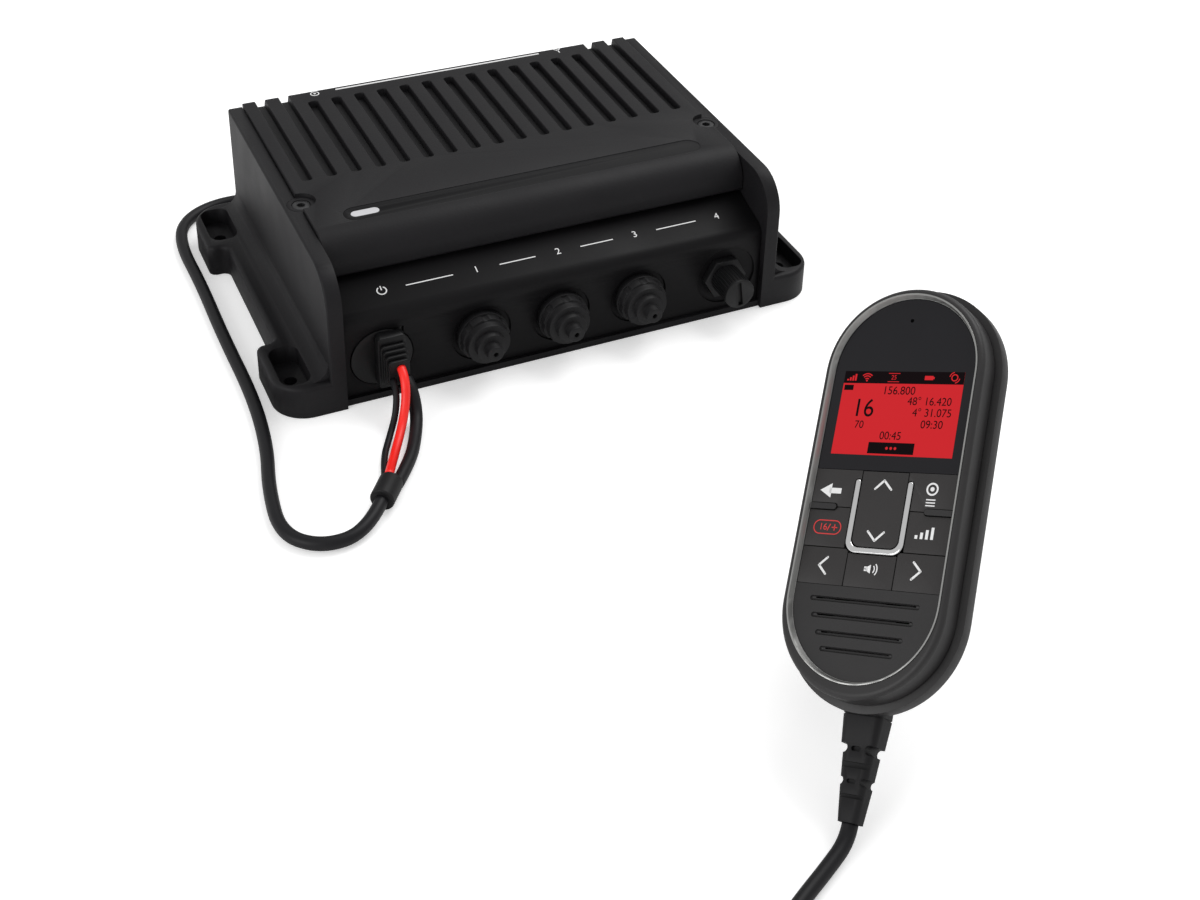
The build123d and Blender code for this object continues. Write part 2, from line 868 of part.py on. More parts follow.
# ---------------------------------------------------------------- electronics in the case

with BuildPart() as main_board:
    with BuildSketch(Plane.XY.offset(board_height)):
        with Locations((0, board_y)):
            Rectangle(board_length, board_width)
            with GridLocations(post_pitch_x, 2 * post_pitch_y, 3, 2):
                Circle(post_bore + 0.3, mode=Mode.SUBTRACT)
    extrude(amount=board_thick)
save(main_board, "main_board")

with BuildPart() as board_screws:
    with BuildSketch(Plane.XY.offset(board_top)):
        with Locations((0, board_y)):
            with GridLocations(post_pitch_x, 2 * post_pitch_y, 3, 2):
                Circle(2.4)
    extrude(amount=1.8)
    with BuildSketch(Plane.XY.offset(board_top)):
        with Locations((0, board_y)):
            with GridLocations(post_pitch_x, 2 * post_pitch_y, 3, 2):
                Circle(post_bore)
    extrude(amount=-board_thick - 5)
save(board_screws, "board_screws")

with BuildPart() as rf_module:
    with BuildSketch(Plane.XY.offset(board_top)):
        with Locations((0, board_y)):
            RectangleRounded(rf_length, rf_width, 2)
    extrude(amount=rf_height)
save(rf_module, "rf_module")

with BuildPart() as heat_pad:
    with BuildSketch(Plane.XY.offset(board_top + rf_height)):
        with Locations((0, board_y)):
            RectangleRounded(rf_length - 4, rf_width - 4, 2)
    extrude(amount=pad_thick)
save(heat_pad, "heat_pad")


# ---------------------------------------------------------------- cords: helpers

def cord_radii(points):
    """The largest tangent arc that the runs beside each corner allow."""
    spots = [Vector(*point) for point in points]
    radii = []
    for before, here, after in zip(spots, spots[1:], spots[2:]):
        run_in = here - before
        run_out = after - here
        turn = radians(run_in.get_angle(run_out))
        radii.append(0.45 * min(run_in.length, run_out.length) / tan(turn / 2))
    return radii


def cord_tube(points, radius, name):
    """A plain round tube along straight runs joined by tangent arcs."""
    radii = cord_radii(points)
    with BuildPart() as tube:
        with BuildLine() as route:
            FilletPolyline(*points, radius=radii)
        start = Vector(*points[0])
        with BuildSketch(Plane(origin=start, z_dir=Vector(*points[1]) - start)):
            Circle(radius)
        sweep(path=route.line)
    length = sum(edge.length for edge in route.line.edges())
    print(f"{name}: {length:.0f} mm long, radii", " ".join(f"{r:.0f}" for r in radii))
    return tube


# ---------------------------------------------------------------- power lead

with BuildPart() as power_plug:
    with BuildSketch(Plane.XZ.offset(-plug_face)):
        with Locations((plug_x, port_z)):
            RectangleRounded(plug_width, plug_height, 1.5)
    extrude(amount=plug_block)
    with BuildSketch(Plane.XZ.offset(-plug_face)):
        with Locations((plug_x, port_z)):
            Rectangle(
                shroud_width - 2 * shroud_wall - 2 * plug_fit,
                shroud_height - 2 * shroud_wall - 2 * plug_fit,
            )
            with Locations((0, -5), (0, 5)):
                Circle(contact_radius + 0.3, mode=Mode.SUBTRACT)
    extrude(amount=-shroud_depth + 1)
    for rib in range(plug_ribs):
        rib_start = -plug_face + plug_block + rib * (plug_rib + plug_rib_gap)
        with BuildSketch(Plane.XZ.offset(rib_start)):
            with Locations((plug_x, port_z)):
                RectangleRounded(plug_width - 4 - rib * 0.4, plug_height - 12 - rib * 1.2, 1)
        extrude(amount=plug_rib_gap)
        with BuildSketch(Plane.XZ.offset(rib_start + plug_rib_gap)):
            with Locations((plug_x, port_z)):
                RectangleRounded(plug_width - 1 - rib * 0.7, plug_height - 6 - rib * 2.4, 1.4)
        extrude(amount=plug_rib)
save(power_plug, "power_plug")

sleeve_start = Vector(-98.2, -136.4, 5.1)
sleeve_dir = Vector(-0.6, -0.8, 0)
sleeve_end = sleeve_start + sleeve_dir * (sleeve_length + 0.4)

red_route = (
    (-77.8, plug_end - 0.9, 22.4),
    (-78.0, plug_end - 5.5, 21.3),
    (-79.4, -99.6, 12.5),
    (-84.0, -106.5, 4.7),
    (-92.8, -121.8, 3.0),
    (-98.6, -134.9, 7.0),
)
black_route = (
    (-75.7, plug_end - 0.9, 16.2),
    (-75.2, plug_end - 4.8, 14.8),
    (-74.9, -99.2, 5.6),
    (-78.8, -109.5, 3.0),
    (-86.4, -125.0, 3.0),
    (-96.1, -136.7, 3.1),
)
thin_route = (
    (-81.5, plug_end - 0.9, 17.2),
    (-81.9, plug_end - 5.5, 16.2),
    (-84.0, -99.8, 8.0),
    (-88.4, -105.0, 2.2),
    (-96.6, -119.8, 1.9),
    (-99.9, -133.9, 2.9),
)
power_cable_route = (
    tuple(sleeve_end),
    (-115.6, -159.6, 3.8),
    (-133.6, -160.4, 3.0),
    (-146.0, -147.2, 2.9),
    (-143.2, -120.0, 2.9),
    (-136.8, -94.0, 2.9),
    (-133.6, -60.0, 2.9),
    (-134.4, -12.0, 2.9),
    (-133.6, 32.0, 2.9),
    (-134.8, 66.0, 2.9),
    (-130.0, 87.0, 2.9),
    (-113.0, 99.0, 2.9),
    (-90.0, 98.0, 2.9),
    (-70.0, 87.6, 2.9),
    (-50.0, 87.6, 2.9),
)
save(cord_tube(red_route, red_wire_radius, "power_wire_red"), "power_wire_red")
save(cord_tube(black_route, black_wire_radius, "power_wire_black"), "power_wire_black")
save(cord_tube(thin_route, thin_wire_radius, "power_wire_thin"), "power_wire_thin")
save(cord_tube(power_cable_route, power_cable_radius, "power_cable"), "power_cable")

with BuildPart() as wire_sleeve:
    with BuildSketch(Plane(origin=sleeve_start, z_dir=sleeve_dir)):
        Circle(sleeve_radius)
    extrude(amount=sleeve_length)
    fillet(wire_sleeve.edges().filter_by(GeomType.CIRCLE), radius=0.8)
save(wire_sleeve, "wire_sleeve")

power_coil_centre = Vector(-20.0, 87.6 - power_cable_radius + power_coil_radius + power_coil_band)
power_stub_height = 2.9
fuse_start = Vector(22.0, 87.6, power_stub_height)

with BuildPart() as power_cable_coil:
    with BuildSketch():
        with Locations((power_coil_centre.X, power_coil_centre.Y)):
            Circle(power_coil_radius + power_coil_band)
            Circle(power_coil_radius - power_coil_band, mode=Mode.SUBTRACT)
    extrude(amount=power_coil_height)
    fillet(power_cable_coil.edges().filter_by(GeomType.CIRCLE), radius=2.4)
    with BuildSketch(Plane(origin=power_cable_route[-1], z_dir=(1, 0, 0))):
        Circle(power_cable_radius)
    extrude(amount=fuse_start.X - power_cable_route[-1][0])
save(power_cable_coil, "power_cable_coil")

with BuildPart() as fuse_holder:
    with BuildSketch(Plane(origin=(fuse_start.X + 0.3, fuse_start.Y, 5.7), z_dir=(1, 0, 0))):
        Circle(5.5)
    extrude(amount=40)
    fillet(fuse_holder.edges().filter_by(GeomType.CIRCLE), radius=1.2)
    with BuildSketch(Plane(origin=(fuse_start.X + 40, fuse_start.Y, 4.4), z_dir=(1, 0, 0))):
        Circle(black_wire_radius - 0.8)
    extrude(amount=16)
save(fuse_holder, "fuse_holder")


# ---------------------------------------------------------------- handset shells

def stadium(offset, drop=0.0):
    """The handset's outline, grown or shrunk by an offset, with its foot further down."""
    with Locations((0, -drop / 2)):
        SlotOverall(
            2 * (bezel_half_length + offset) + drop,
            2 * (bezel_half_width + offset),
            rotation=90,
        )


def face_region(offset, low, high):
    """The part of the outline between two heights on the face."""
    stadium(offset)
    with Locations((0, (low + high) / 2)):
        Rectangle(4 * bezel_half_width, high - low, mode=Mode.INTERSECT)


key_opening = bezel_half_width - ring_width - 0.9
opening_low = keypad_bottom + 0.5
opening_high = glass_bottom - 0.5
tactile_y = row_1
ridge_spots = ((-1, tactile_y), (1, tactile_y))

with BuildPart() as handset_front_case:
    with BuildSketch(HANDSET.offset(-rim_bottom)):
        stadium(rim, case_drop)
    extrude(amount=rim_bottom - rim_top)
    fillet(
        handset_front_case.faces().sort_by(Axis(handset_centre, face_dir))[-1].edges(),
        radius=rim_round,
    )
    with BuildSketch(HANDSET.offset(-rim_bottom)):
        stadium(rim - shell_wall, case_drop)
    extrude(amount=rim_bottom - face_plate_back, mode=Mode.SUBTRACT)
    # Dish for the ring, the glass and the keys
    with BuildSketch(HANDSET.offset(-face_drop)):
        stadium(0.1)
    extrude(amount=5, mode=Mode.SUBTRACT)
    with BuildSketch(HANDSET.offset(-ring_depth)):
        stadium(0.1)
        stadium_hole = -ring_width - 0.1
        SlotOverall(
            2 * (bezel_half_length + stadium_hole),
            2 * (bezel_half_width + stadium_hole),
            rotation=90,
            mode=Mode.SUBTRACT,
        )
    extrude(amount=5, mode=Mode.SUBTRACT)
    with BuildSketch(HANDSET.offset(-ring_depth)):
        face_region(-ring_width - 0.1, keypad_bottom, 2 * bezel_half_length)
    extrude(amount=5, mode=Mode.SUBTRACT)
    # Opening behind the display and behind the keys
    with BuildSketch(HANDSET.offset(-face_plate_back)):
        with Locations((screen_x, screen_y)):
            Rectangle(screen_width + 1.2, screen_height + 1.2)
        with Locations((0, (opening_high + opening_low) / 2)):
            Rectangle(2 * key_opening, opening_high - opening_low)
    extrude(amount=3, mode=Mode.SUBTRACT)
    # Tactile ridges that stand between the side keys
    for side_sign, ridge_y in ridge_spots:
        with BuildSketch(HANDSET.offset(-face_plate_back)):
            ridge_nose = ridge_inner + ridge_width / 2
            ridge_run = key_opening + 0.6 - ridge_nose
            with Locations((side_sign * (ridge_nose + ridge_run / 2), ridge_y)):
                Rectangle(ridge_run, ridge_width)
            with Locations((side_sign * ridge_nose, ridge_y)):
                Circle(ridge_width / 2)
        extrude(amount=face_plate_back - face_drop + 0.4)
    # Round-bottomed grooves with a slit, in front of the loudspeaker
    groove_round = slot_width / 2
    for slot_y, slot_half in slot_rows:
        groove_half = slot_half - groove_round
        groove_from = handset_point(-groove_half, slot_y, -face_drop)
        with BuildSketch(Plane(origin=groove_from, x_dir=top_dir, z_dir=right_dir)):
            Circle(groove_round)
        extrude(amount=2 * groove_half, mode=Mode.SUBTRACT)
        with Locations(groove_from, handset_point(groove_half, slot_y, -face_drop)):
            Sphere(groove_round, mode=Mode.SUBTRACT)
    with BuildSketch(HANDSET):
        for slot_y, slot_half in slot_rows:
            with Locations((0, slot_y + slit_rise)):
                SlotOverall(2 * (slot_half - slot_width), slit_width)
    extrude(amount=-face_plate_back - 1, mode=Mode.SUBTRACT)
    with BuildSketch(HANDSET):
        with Locations((mic_x, mic_y)):
            Circle(mic_hole)
    extrude(amount=-face_plate_back - 1, mode=Mode.SUBTRACT)
    # Posts for the case screws
    with BuildSketch(HANDSET.offset(-face_plate_back)):
        with Locations(*case_screw_spots):
            Circle(2.6)
    extrude(amount=-(back_depth - back_wall - face_plate_back - 4))
    with BuildSketch(HANDSET.offset(-back_depth + back_wall + 4)):
        with Locations(*case_screw_spots):
            Circle(case_screw_shank + thread_gap)
    extrude(amount=12, mode=Mode.SUBTRACT)
save(handset_front_case, "handset_front_case")

back_top = rim_bottom + joint_gap
back_crest = back_top + back_straight
back_shrink = tan(radians(back_taper))

with BuildPart() as handset_back_case:
    with BuildSketch(HANDSET.offset(-back_top)):
        stadium(back_offset, case_drop)
    extrude(amount=-back_straight)
    with BuildSketch(HANDSET.offset(-back_crest)):
        stadium(back_offset, case_drop)
    extrude(amount=-(back_depth - back_crest), taper=back_taper)
    fillet(
        handset_back_case.faces().sort_by(Axis(handset_centre, face_dir))[0].edges(),
        radius=back_round,
    )
    # Lip that meets the front case behind the joint groove
    with BuildSketch(HANDSET.offset(-back_top)):
        stadium(rim - 0.9, case_drop)
    extrude(amount=joint_gap)
    with BuildSketch(HANDSET.offset(-rim_bottom)):
        stadium(rim - shell_wall, case_drop)
    extrude(amount=-(back_crest - rim_bottom), mode=Mode.SUBTRACT)
    with BuildSketch(HANDSET.offset(-back_crest)):
        stadium(rim - shell_wall, case_drop)
    extrude(amount=-(back_depth - back_wall - back_crest), taper=back_taper, mode=Mode.SUBTRACT)
    # Screw wells
    with BuildSketch(HANDSET.offset(-back_depth + back_wall - 0.5)):
        with Locations(*case_screw_spots):
            Circle(3.2)
    extrude(amount=4.4)
    with BuildSketch(HANDSET.offset(-back_depth)):
        with Locations(*case_screw_spots):
            Circle(case_screw_shank + 0.2)
    extrude(amount=10, mode=Mode.SUBTRACT)
    with BuildSketch(HANDSET.offset(-back_depth)):
        with Locations(*case_screw_spots):
            Circle(case_screw_head + 0.2)
    extrude(amount=2.4, mode=Mode.SUBTRACT)
    # Window for the talk key
    ptt_plane = Plane(origin=handset_point(0, ptt_y, ptt_z), x_dir=top_dir, z_dir=right_dir * -1)
    with BuildSketch(ptt_plane.offset(20)):
        RectangleRounded(ptt_length + 2 * key_gap, ptt_height + 2 * key_gap, 2)
    extrude(amount=30, mode=Mode.SUBTRACT)
    # Hole for the distress key and its guard's hinge ears
    with BuildSketch(HANDSET.offset(-back_depth)):
        with Locations((0, distress_y)):
            Circle(distress_radius + 0.3)
    extrude(amount=back_wall + 1, mode=Mode.SUBTRACT)
    flap_hinge_y = distress_y + flap_length / 2
    flap_hinge_z = -back_depth - 1.9
    with BuildSketch(
        Plane(
            origin=handset_point(-flap_width / 2 - 2.2, flap_hinge_y, flap_hinge_z),
            x_dir=top_dir,
            z_dir=right_dir,
        )
    ):
        with Locations((0, -1.4)):
            Rectangle(4.4, 4.6)
        Circle(2.2)
        Circle(flap_pin + 0.05, mode=Mode.SUBTRACT)
    extrude(amount=2)
    with BuildSketch(
        Plane(
            origin=handset_point(flap_width / 2 + 0.2, flap_hinge_y, flap_hinge_z),
            x_dir=top_dir,
            z_dir=right_dir,
        )
    ):
        with Locations((0, -1.4)):
            Rectangle(4.4, 4.6)
        Circle(2.2)
        Circle(flap_pin + 0.05, mode=Mode.SUBTRACT)
    extrude(amount=2)
    # Mouth for the cord boot
    with BuildSketch(
        Plane(origin=handset_point(0, boot_start, boot_z), x_dir=right_dir, z_dir=top_dir * -1)
    ):
        RectangleRounded(boot_width + 2 * fit_gap, boot_height + 2 * fit_gap, 3)
    extrude(amount=30, mode=Mode.SUBTRACT)
save(handset_back_case, "handset_back_case")

with BuildPart() as bezel_ring:
    with BuildSketch(HANDSET.offset(-ring_depth)):
        stadium(0)
        SlotOverall(
            2 * (bezel_half_length - ring_width),
            2 * (bezel_half_width - ring_width),
            rotation=90,
            mode=Mode.SUBTRACT,
        )
    extrude(amount=ring_depth)
    # Sloping inner face of the ring
    with BuildSketch(HANDSET):
        stadium(-ring_flat)
    extrude(amount=-face_drop, taper=ring_slope, mode=Mode.SUBTRACT)
save(bezel_ring, "bezel_ring")


# ---------------------------------------------------------------- handset face

face_edge = -ring_width - 0.1 - fit_gap

with BuildPart() as display_window:
    with BuildSketch(HANDSET.offset(-ring_depth)):
        face_region(face_edge, glass_bottom, 2 * bezel_half_length)
        with Locations((mic_x, mic_y)):
            Circle(mic_hole, mode=Mode.SUBTRACT)
    extrude(amount=ring_depth - face_drop)
save(display_window, "display_window")

with BuildPart() as display_module:
    with BuildSketch(HANDSET.offset(-face_plate_back)):
        with Locations((screen_x, screen_y)):
            Rectangle(screen_width + 2 * display_border, screen_height + 2 * display_border)
    extrude(amount=-display_depth)
    with BuildSketch(HANDSET.offset(-face_plate_back)):
        with Locations((screen_x, screen_y)):
            Rectangle(screen_width + 0.8, screen_height + 0.8)
    extrude(amount=face_plate_back - ring_depth)
save(display_module, "display_module")


def key_area(left, right, low, high):
    """The area between four edges, clear of the trim and of the ridges beside the keys."""
    with Locations(((left + right) / 2, (low + high) / 2)):
        Rectangle(right - left, high - low)
    # The U of the trim with its gap: a round foot, a straight part and two round ends
    trim_low = trim_bottom - trim_width / 2 - key_gap
    trim_across = 2 * trim_x + trim_width + 2 * key_gap
    with Locations((0, trim_low + 1.5 * trim_corner)):
        RectangleRounded(trim_across, 3 * trim_corner, trim_corner, mode=Mode.SUBTRACT)
    with Locations((0, (trim_low + trim_corner + trim_top) / 2)):
        Rectangle(trim_across, trim_top - trim_low - trim_corner, mode=Mode.SUBTRACT)
    with Locations((trim_x, trim_top), (-trim_x, trim_top)):
        Circle(trim_width / 2 + key_gap, mode=Mode.SUBTRACT)
    for side_sign, ridge_y in ridge_spots:
        ridge_nose = ridge_inner + ridge_width / 2
        with Locations((side_sign * (ridge_nose + bezel_half_width / 2), ridge_y)):
            Rectangle(bezel_half_width, ridge_width + 2 * key_gap, mode=Mode.SUBTRACT)
        with Locations((side_sign * ridge_nose, ridge_y)):
            Circle(ridge_width / 2 + key_gap, mode=Mode.SUBTRACT)


def key_block(name, left, right, low, high):
    """One key: a body in the opening under a thin rim that reaches the edge of the face."""
    half_gap = key_gap / 2
    with BuildPart() as key:
        with BuildSketch(HANDSET.offset(-key_bottom)):
            key_area(
                max(left + half_gap, key_gap - key_opening),
                min(right - half_gap, key_opening - key_gap),
                max(low + half_gap, opening_low + key_gap),
                min(high - half_gap, opening_high - key_gap),
            )
        extrude(amount=key_bottom - face_drop - key_rim)
        with BuildSketch(HANDSET.offset(-face_drop - key_rim)):
            key_area(left + half_gap, right - half_gap, low + half_gap, high - half_gap)
            stadium_clip = 2 * (bezel_half_width + face_edge)
            SlotOverall(
                2 * (bezel_half_length + face_edge),
                stadium_clip,
                rotation=90,
                mode=Mode.INTERSECT,
            )
        extrude(amount=key_rim)
    save(key, name)


trim_outer = trim_x + trim_width / 2 + 0.1
edge = bezel_half_width
beside_rocker = trim_x - trim_width / 2 - key_gap / 2
key_block("back_key", -edge, -beside_rocker, row_1, glass_bottom)
key_block("ok_key", beside_rocker, edge, row_1, glass_bottom)
key_block("channel_key", -edge, -trim_outer, row_2, row_1)
key_block("power_level_key", trim_outer, edge, row_2, row_1)
key_block("left_key", -edge, -centre_column, keypad_bottom, row_2)
key_block("right_key", centre_column, edge, keypad_bottom, row_2)
key_block("volume_key", -centre_column, centre_column, keypad_bottom, trim_bottom - trim_width / 2)

with BuildPart() as rocker_key:
    with BuildSketch(HANDSET.offset(-key_bottom)):
        rocker_half = trim_x - trim_width / 2 - key_gap
        rocker_low = trim_bottom + trim_width / 2 + key_gap
        rocker_high = opening_high - key_gap
        rocker_corner = trim_corner - trim_width / 2 - key_gap
        with Locations((0, rocker_low + 1.5 * rocker_corner)):
            RectangleRounded(2 * rocker_half, 3 * rocker_corner, rocker_corner)
        with Locations((0, (rocker_low + rocker_corner + rocker_high) / 2)):
            Rectangle(2 * rocker_half, rocker_high - rocker_low - rocker_corner)
    extrude(amount=key_bottom - face_drop)
    # Rim that reaches up to the glass
    with BuildSketch(HANDSET.offset(-face_drop - key_rim)):
        rocker_reach = glass_bottom - key_gap
        with Locations((0, (rocker_high - key_rim + rocker_reach) / 2)):
            Rectangle(2 * rocker_half, rocker_reach - rocker_high + key_rim)
    extrude(amount=key_rim)
    # Ridge that it rocks on
    rocker_middle = (rocker_low + rocker_high) / 2
    with BuildSketch(
        Plane(
            origin=handset_point(-rocker_half, rocker_middle, rocker_pivot - key_bottom),
            x_dir=top_dir,
            z_dir=right_dir,
        )
    ):
        Circle(rocker_ridge)
    extrude(amount=2 * rocker_half)
save(rocker_key, "rocker_key")

with BuildPart() as keypad_trim:
    with BuildSketch(HANDSET.offset(-key_bottom)):
        trim_height = trim_top - trim_bottom + 2 * trim_corner
        with Locations((0, trim_bottom - trim_width / 2 + trim_height / 2)):
            RectangleRounded(2 * trim_x + trim_width, trim_height, trim_corner)
            RectangleRounded(
                2 * trim_x - trim_width,
                trim_height - 2 * trim_width,
                trim_corner - trim_width / 2 - 0.2,
                mode=Mode.SUBTRACT,
            )
        with Locations((0, trim_top + 20)):
            Rectangle(60, 40, mode=Mode.SUBTRACT)
        with Locations((trim_x, trim_top), (-trim_x, trim_top)):
            Circle(trim_width / 2)
    extrude(amount=key_bottom - face_drop + trim_proud)
    fillet(
        keypad_trim.faces().sort_by(Axis(handset_centre, face_dir))[-1].edges(),
        radius=trim_round,
    )
save(keypad_trim, "keypad_trim")

with BuildPart() as keypad_mat:
    with BuildSketch(HANDSET.offset(-key_bottom - mat_gap)):
        with Locations((0, (glass_bottom + keypad_bottom) / 2)):
            Rectangle(2 * key_opening + 3, glass_bottom - keypad_bottom - 2.0)
    extrude(amount=-mat_thick)
    # Riser under the trim
    with BuildSketch(HANDSET.offset(-key_bottom - mat_gap)):
        with Locations((trim_x, -8), (-trim_x, -8)):
            Rectangle(trim_width - 0.6, 8)
    extrude(amount=mat_gap)
save(keypad_mat, "keypad_mat")

with BuildPart() as loudspeaker:
    with BuildSketch(HANDSET.offset(-face_plate_back)):
        with Locations((0, speaker_y)):
            Circle(speaker_radius)
    extrude(amount=-1.6)
    with BuildSketch(HANDSET.offset(-face_plate_back - 1.6)):
        with Locations((0, speaker_y)):
            Circle(speaker_radius * 0.6)
    extrude(amount=-speaker_depth + 1.6)
save(loudspeaker, "loudspeaker")

with BuildPart() as microphone:
    with BuildSketch(HANDSET.offset(-face_plate_back)):
        with Locations((mic_x, mic_y)):
            Circle(mic_radius)
    extrude(amount=-2.2)
save(microphone, "microphone")

with BuildPart() as handset_board:
    with BuildSketch(HANDSET.offset(-circuit_top)):
        stadium(-ring_width - 2)
        with Locations(*case_screw_spots):
            Circle(2.9, mode=Mode.SUBTRACT)
        with Locations((-bezel_half_width, ptt_y)):
            Rectangle(16, ptt_length + 4, mode=Mode.SUBTRACT)
    extrude(amount=-circuit_thick)
    # Spacers up to the display and the keypad mat
    with BuildSketch(HANDSET.offset(-circuit_top)):
        with Locations((screen_x, screen_y)):
            Rectangle(screen_width - 6, screen_height - 6)
    extrude(amount=circuit_top - face_plate_back - display_depth)
    with BuildSketch(HANDSET.offset(-circuit_top)):
        with Locations((0, -16)):
            Rectangle(34, 30)
    extrude(amount=circuit_top - key_bottom - mat_gap - mat_thick)
save(handset_board, "handset_board")

with BuildPart() as case_screws:
    with BuildSketch(HANDSET.offset(-back_depth + 0.4)):
        with Locations(*case_screw_spots):
            Circle(case_screw_head)
    extrude(amount=1.9)
    with BuildSketch(HANDSET.offset(-back_depth + 0.4)):
        with Locations(*case_screw_spots):
            Rectangle(3.0, 0.8)
            Rectangle(0.8, 3.0)
    extrude(amount=1.2, mode=Mode.SUBTRACT)
    with BuildSketch(HANDSET.offset(-back_depth + 2.3)):
        with Locations(*case_screw_spots):
            Circle(case_screw_shank)
    extrude(amount=12)
save(case_screws, "case_screws")


# ---------------------------------------------------------------- handset side and back

with BuildPart() as ptt_key:
    with BuildSketch(ptt_plane.offset(bezel_half_width)):
        RectangleRounded(ptt_length, ptt_height, 1.8)
    extrude(amount=back_offset + ptt_proud)
    fillet(
        ptt_key.faces().sort_by(Axis(handset_centre, right_dir * -1))[-1].edges(),
        radius=1.2,
    )
    # Stem that works the switch on the board
    with BuildSketch(ptt_plane.offset(bezel_half_width - 5)):
        Rectangle(6, 3)
    extrude(amount=5)
save(ptt_key, "ptt_key")

with BuildPart() as hang_lug:
    with BuildSketch(HANDSET.offset(-back_depth)):
        with Locations((0, lug_y)):
            Circle(lug_base)
    extrude(amount=-lug_base_thick)
    with BuildSketch(HANDSET.offset(-back_depth - lug_base_thick)):
        with Locations((0, lug_y)):
            Circle(lug_neck)
    extrude(amount=-lug_neck_length)
    with BuildSketch(HANDSET.offset(-back_depth - lug_base_thick - lug_neck_length)):
        with Locations((0, lug_y)):
            Circle(lug_head)
    extrude(amount=-lug_head_thick)
    fillet(
        hang_lug.edges().filter_by(GeomType.CIRCLE).group_by(Axis(handset_centre, face_dir))[0],
        radius=1.0,
    )
save(hang_lug, "hang_lug")

with BuildPart() as distress_key:
    with BuildSketch(HANDSET.offset(-back_depth + distress_recess)):
        with Locations((0, distress_y)):
            Circle(distress_radius)
    extrude(amount=back_wall - distress_recess + 0.8)
    with BuildSketch(HANDSET.offset(-back_depth + back_wall + 0.8)):
        with Locations((0, distress_y)):
            Circle(distress_radius + 1.0)
    extrude(amount=1.0)
save(distress_key, "distress_key")

with BuildPart() as distress_cover:
    with BuildSketch(HANDSET.offset(-back_depth - flap_stand)):
        with Locations((0, distress_y - 0.6)):
            RectangleRounded(flap_width, flap_length - 1.8, 2)
    extrude(amount=-flap_thick)
    with BuildSketch(
        Plane(
            origin=handset_point(-flap_width / 2, flap_hinge_y, flap_hinge_z),
            x_dir=top_dir,
            z_dir=right_dir,
        )
    ):
        Circle(1.7)
        with Locations((-1.6, -0.2)):
            Rectangle(3.2, 1.6)
    extrude(amount=flap_width)
    with BuildSketch(
        Plane(
            origin=handset_point(-flap_width / 2 - 2.0, flap_hinge_y, flap_hinge_z),
            x_dir=top_dir,
            z_dir=right_dir,
        )
    ):
        Circle(flap_pin)
    extrude(amount=flap_width + 4.0)
save(distress_cover, "distress_cover")


# ---------------------------------------------------------------- hanger bracket

plate_middle = -back_depth - lug_base_thick - lug_neck_length / 2
lug_point = handset_point(0, lug_y, plate_middle)
away = Vector(-cos(heading), -sin(heading), 0)
lug_height = lug_point.Z
hanger_plane = Plane(origin=(lug_point.X, lug_point.Y, 0), x_dir=away, z_dir=level)
lower_x = -hanger_down * cos(tilt)
lower_z = lug_height - hanger_down * sin(tilt)

with BuildPart() as hanger_bracket:
    with BuildSketch(hanger_plane.offset(-hanger_half)):
        with BuildLine():
            FilletPolyline(
                (hanger_up * cos(tilt), lug_height + hanger_up * sin(tilt)),
                (lower_x, lower_z),
                (lower_x, hanger_sheet / 2),
                (lower_x - hanger_foot, hanger_sheet / 2),
                radius=hanger_bend,
            )
            offset(amount=hanger_sheet / 2, side=Side.BOTH)
        make_face()
    extrude(amount=2 * hanger_half)
    # Open slot for the neck of the lug
    with BuildSketch(HANDSET.offset(plate_middle - 3)):
        with Locations((0, lug_y)):
            Circle(lug_neck + hanger_slot_gap)
        with Locations((sin(spin) * 15, lug_y + cos(spin) * 15)):
            Rectangle(2 * (lug_neck + hanger_slot_gap), 30, rotation=-handset_spin)
    extrude(amount=6, mode=Mode.SUBTRACT)
    with BuildSketch(Plane.XY.offset(-1)):
        foot_hole = lug_point + away * (lower_x - hanger_foot * 0.62)
        with Locations(
            tuple(foot_hole + level * (hanger_hole_pitch / 2))[:2],
            tuple(foot_hole - level * (hanger_hole_pitch / 2))[:2],
        ):
            Circle(hanger_hole)
    extrude(amount=hanger_sheet + 2, mode=Mode.SUBTRACT)
save(hanger_bracket, "hanger_bracket")


# ---------------------------------------------------------------- handset cord

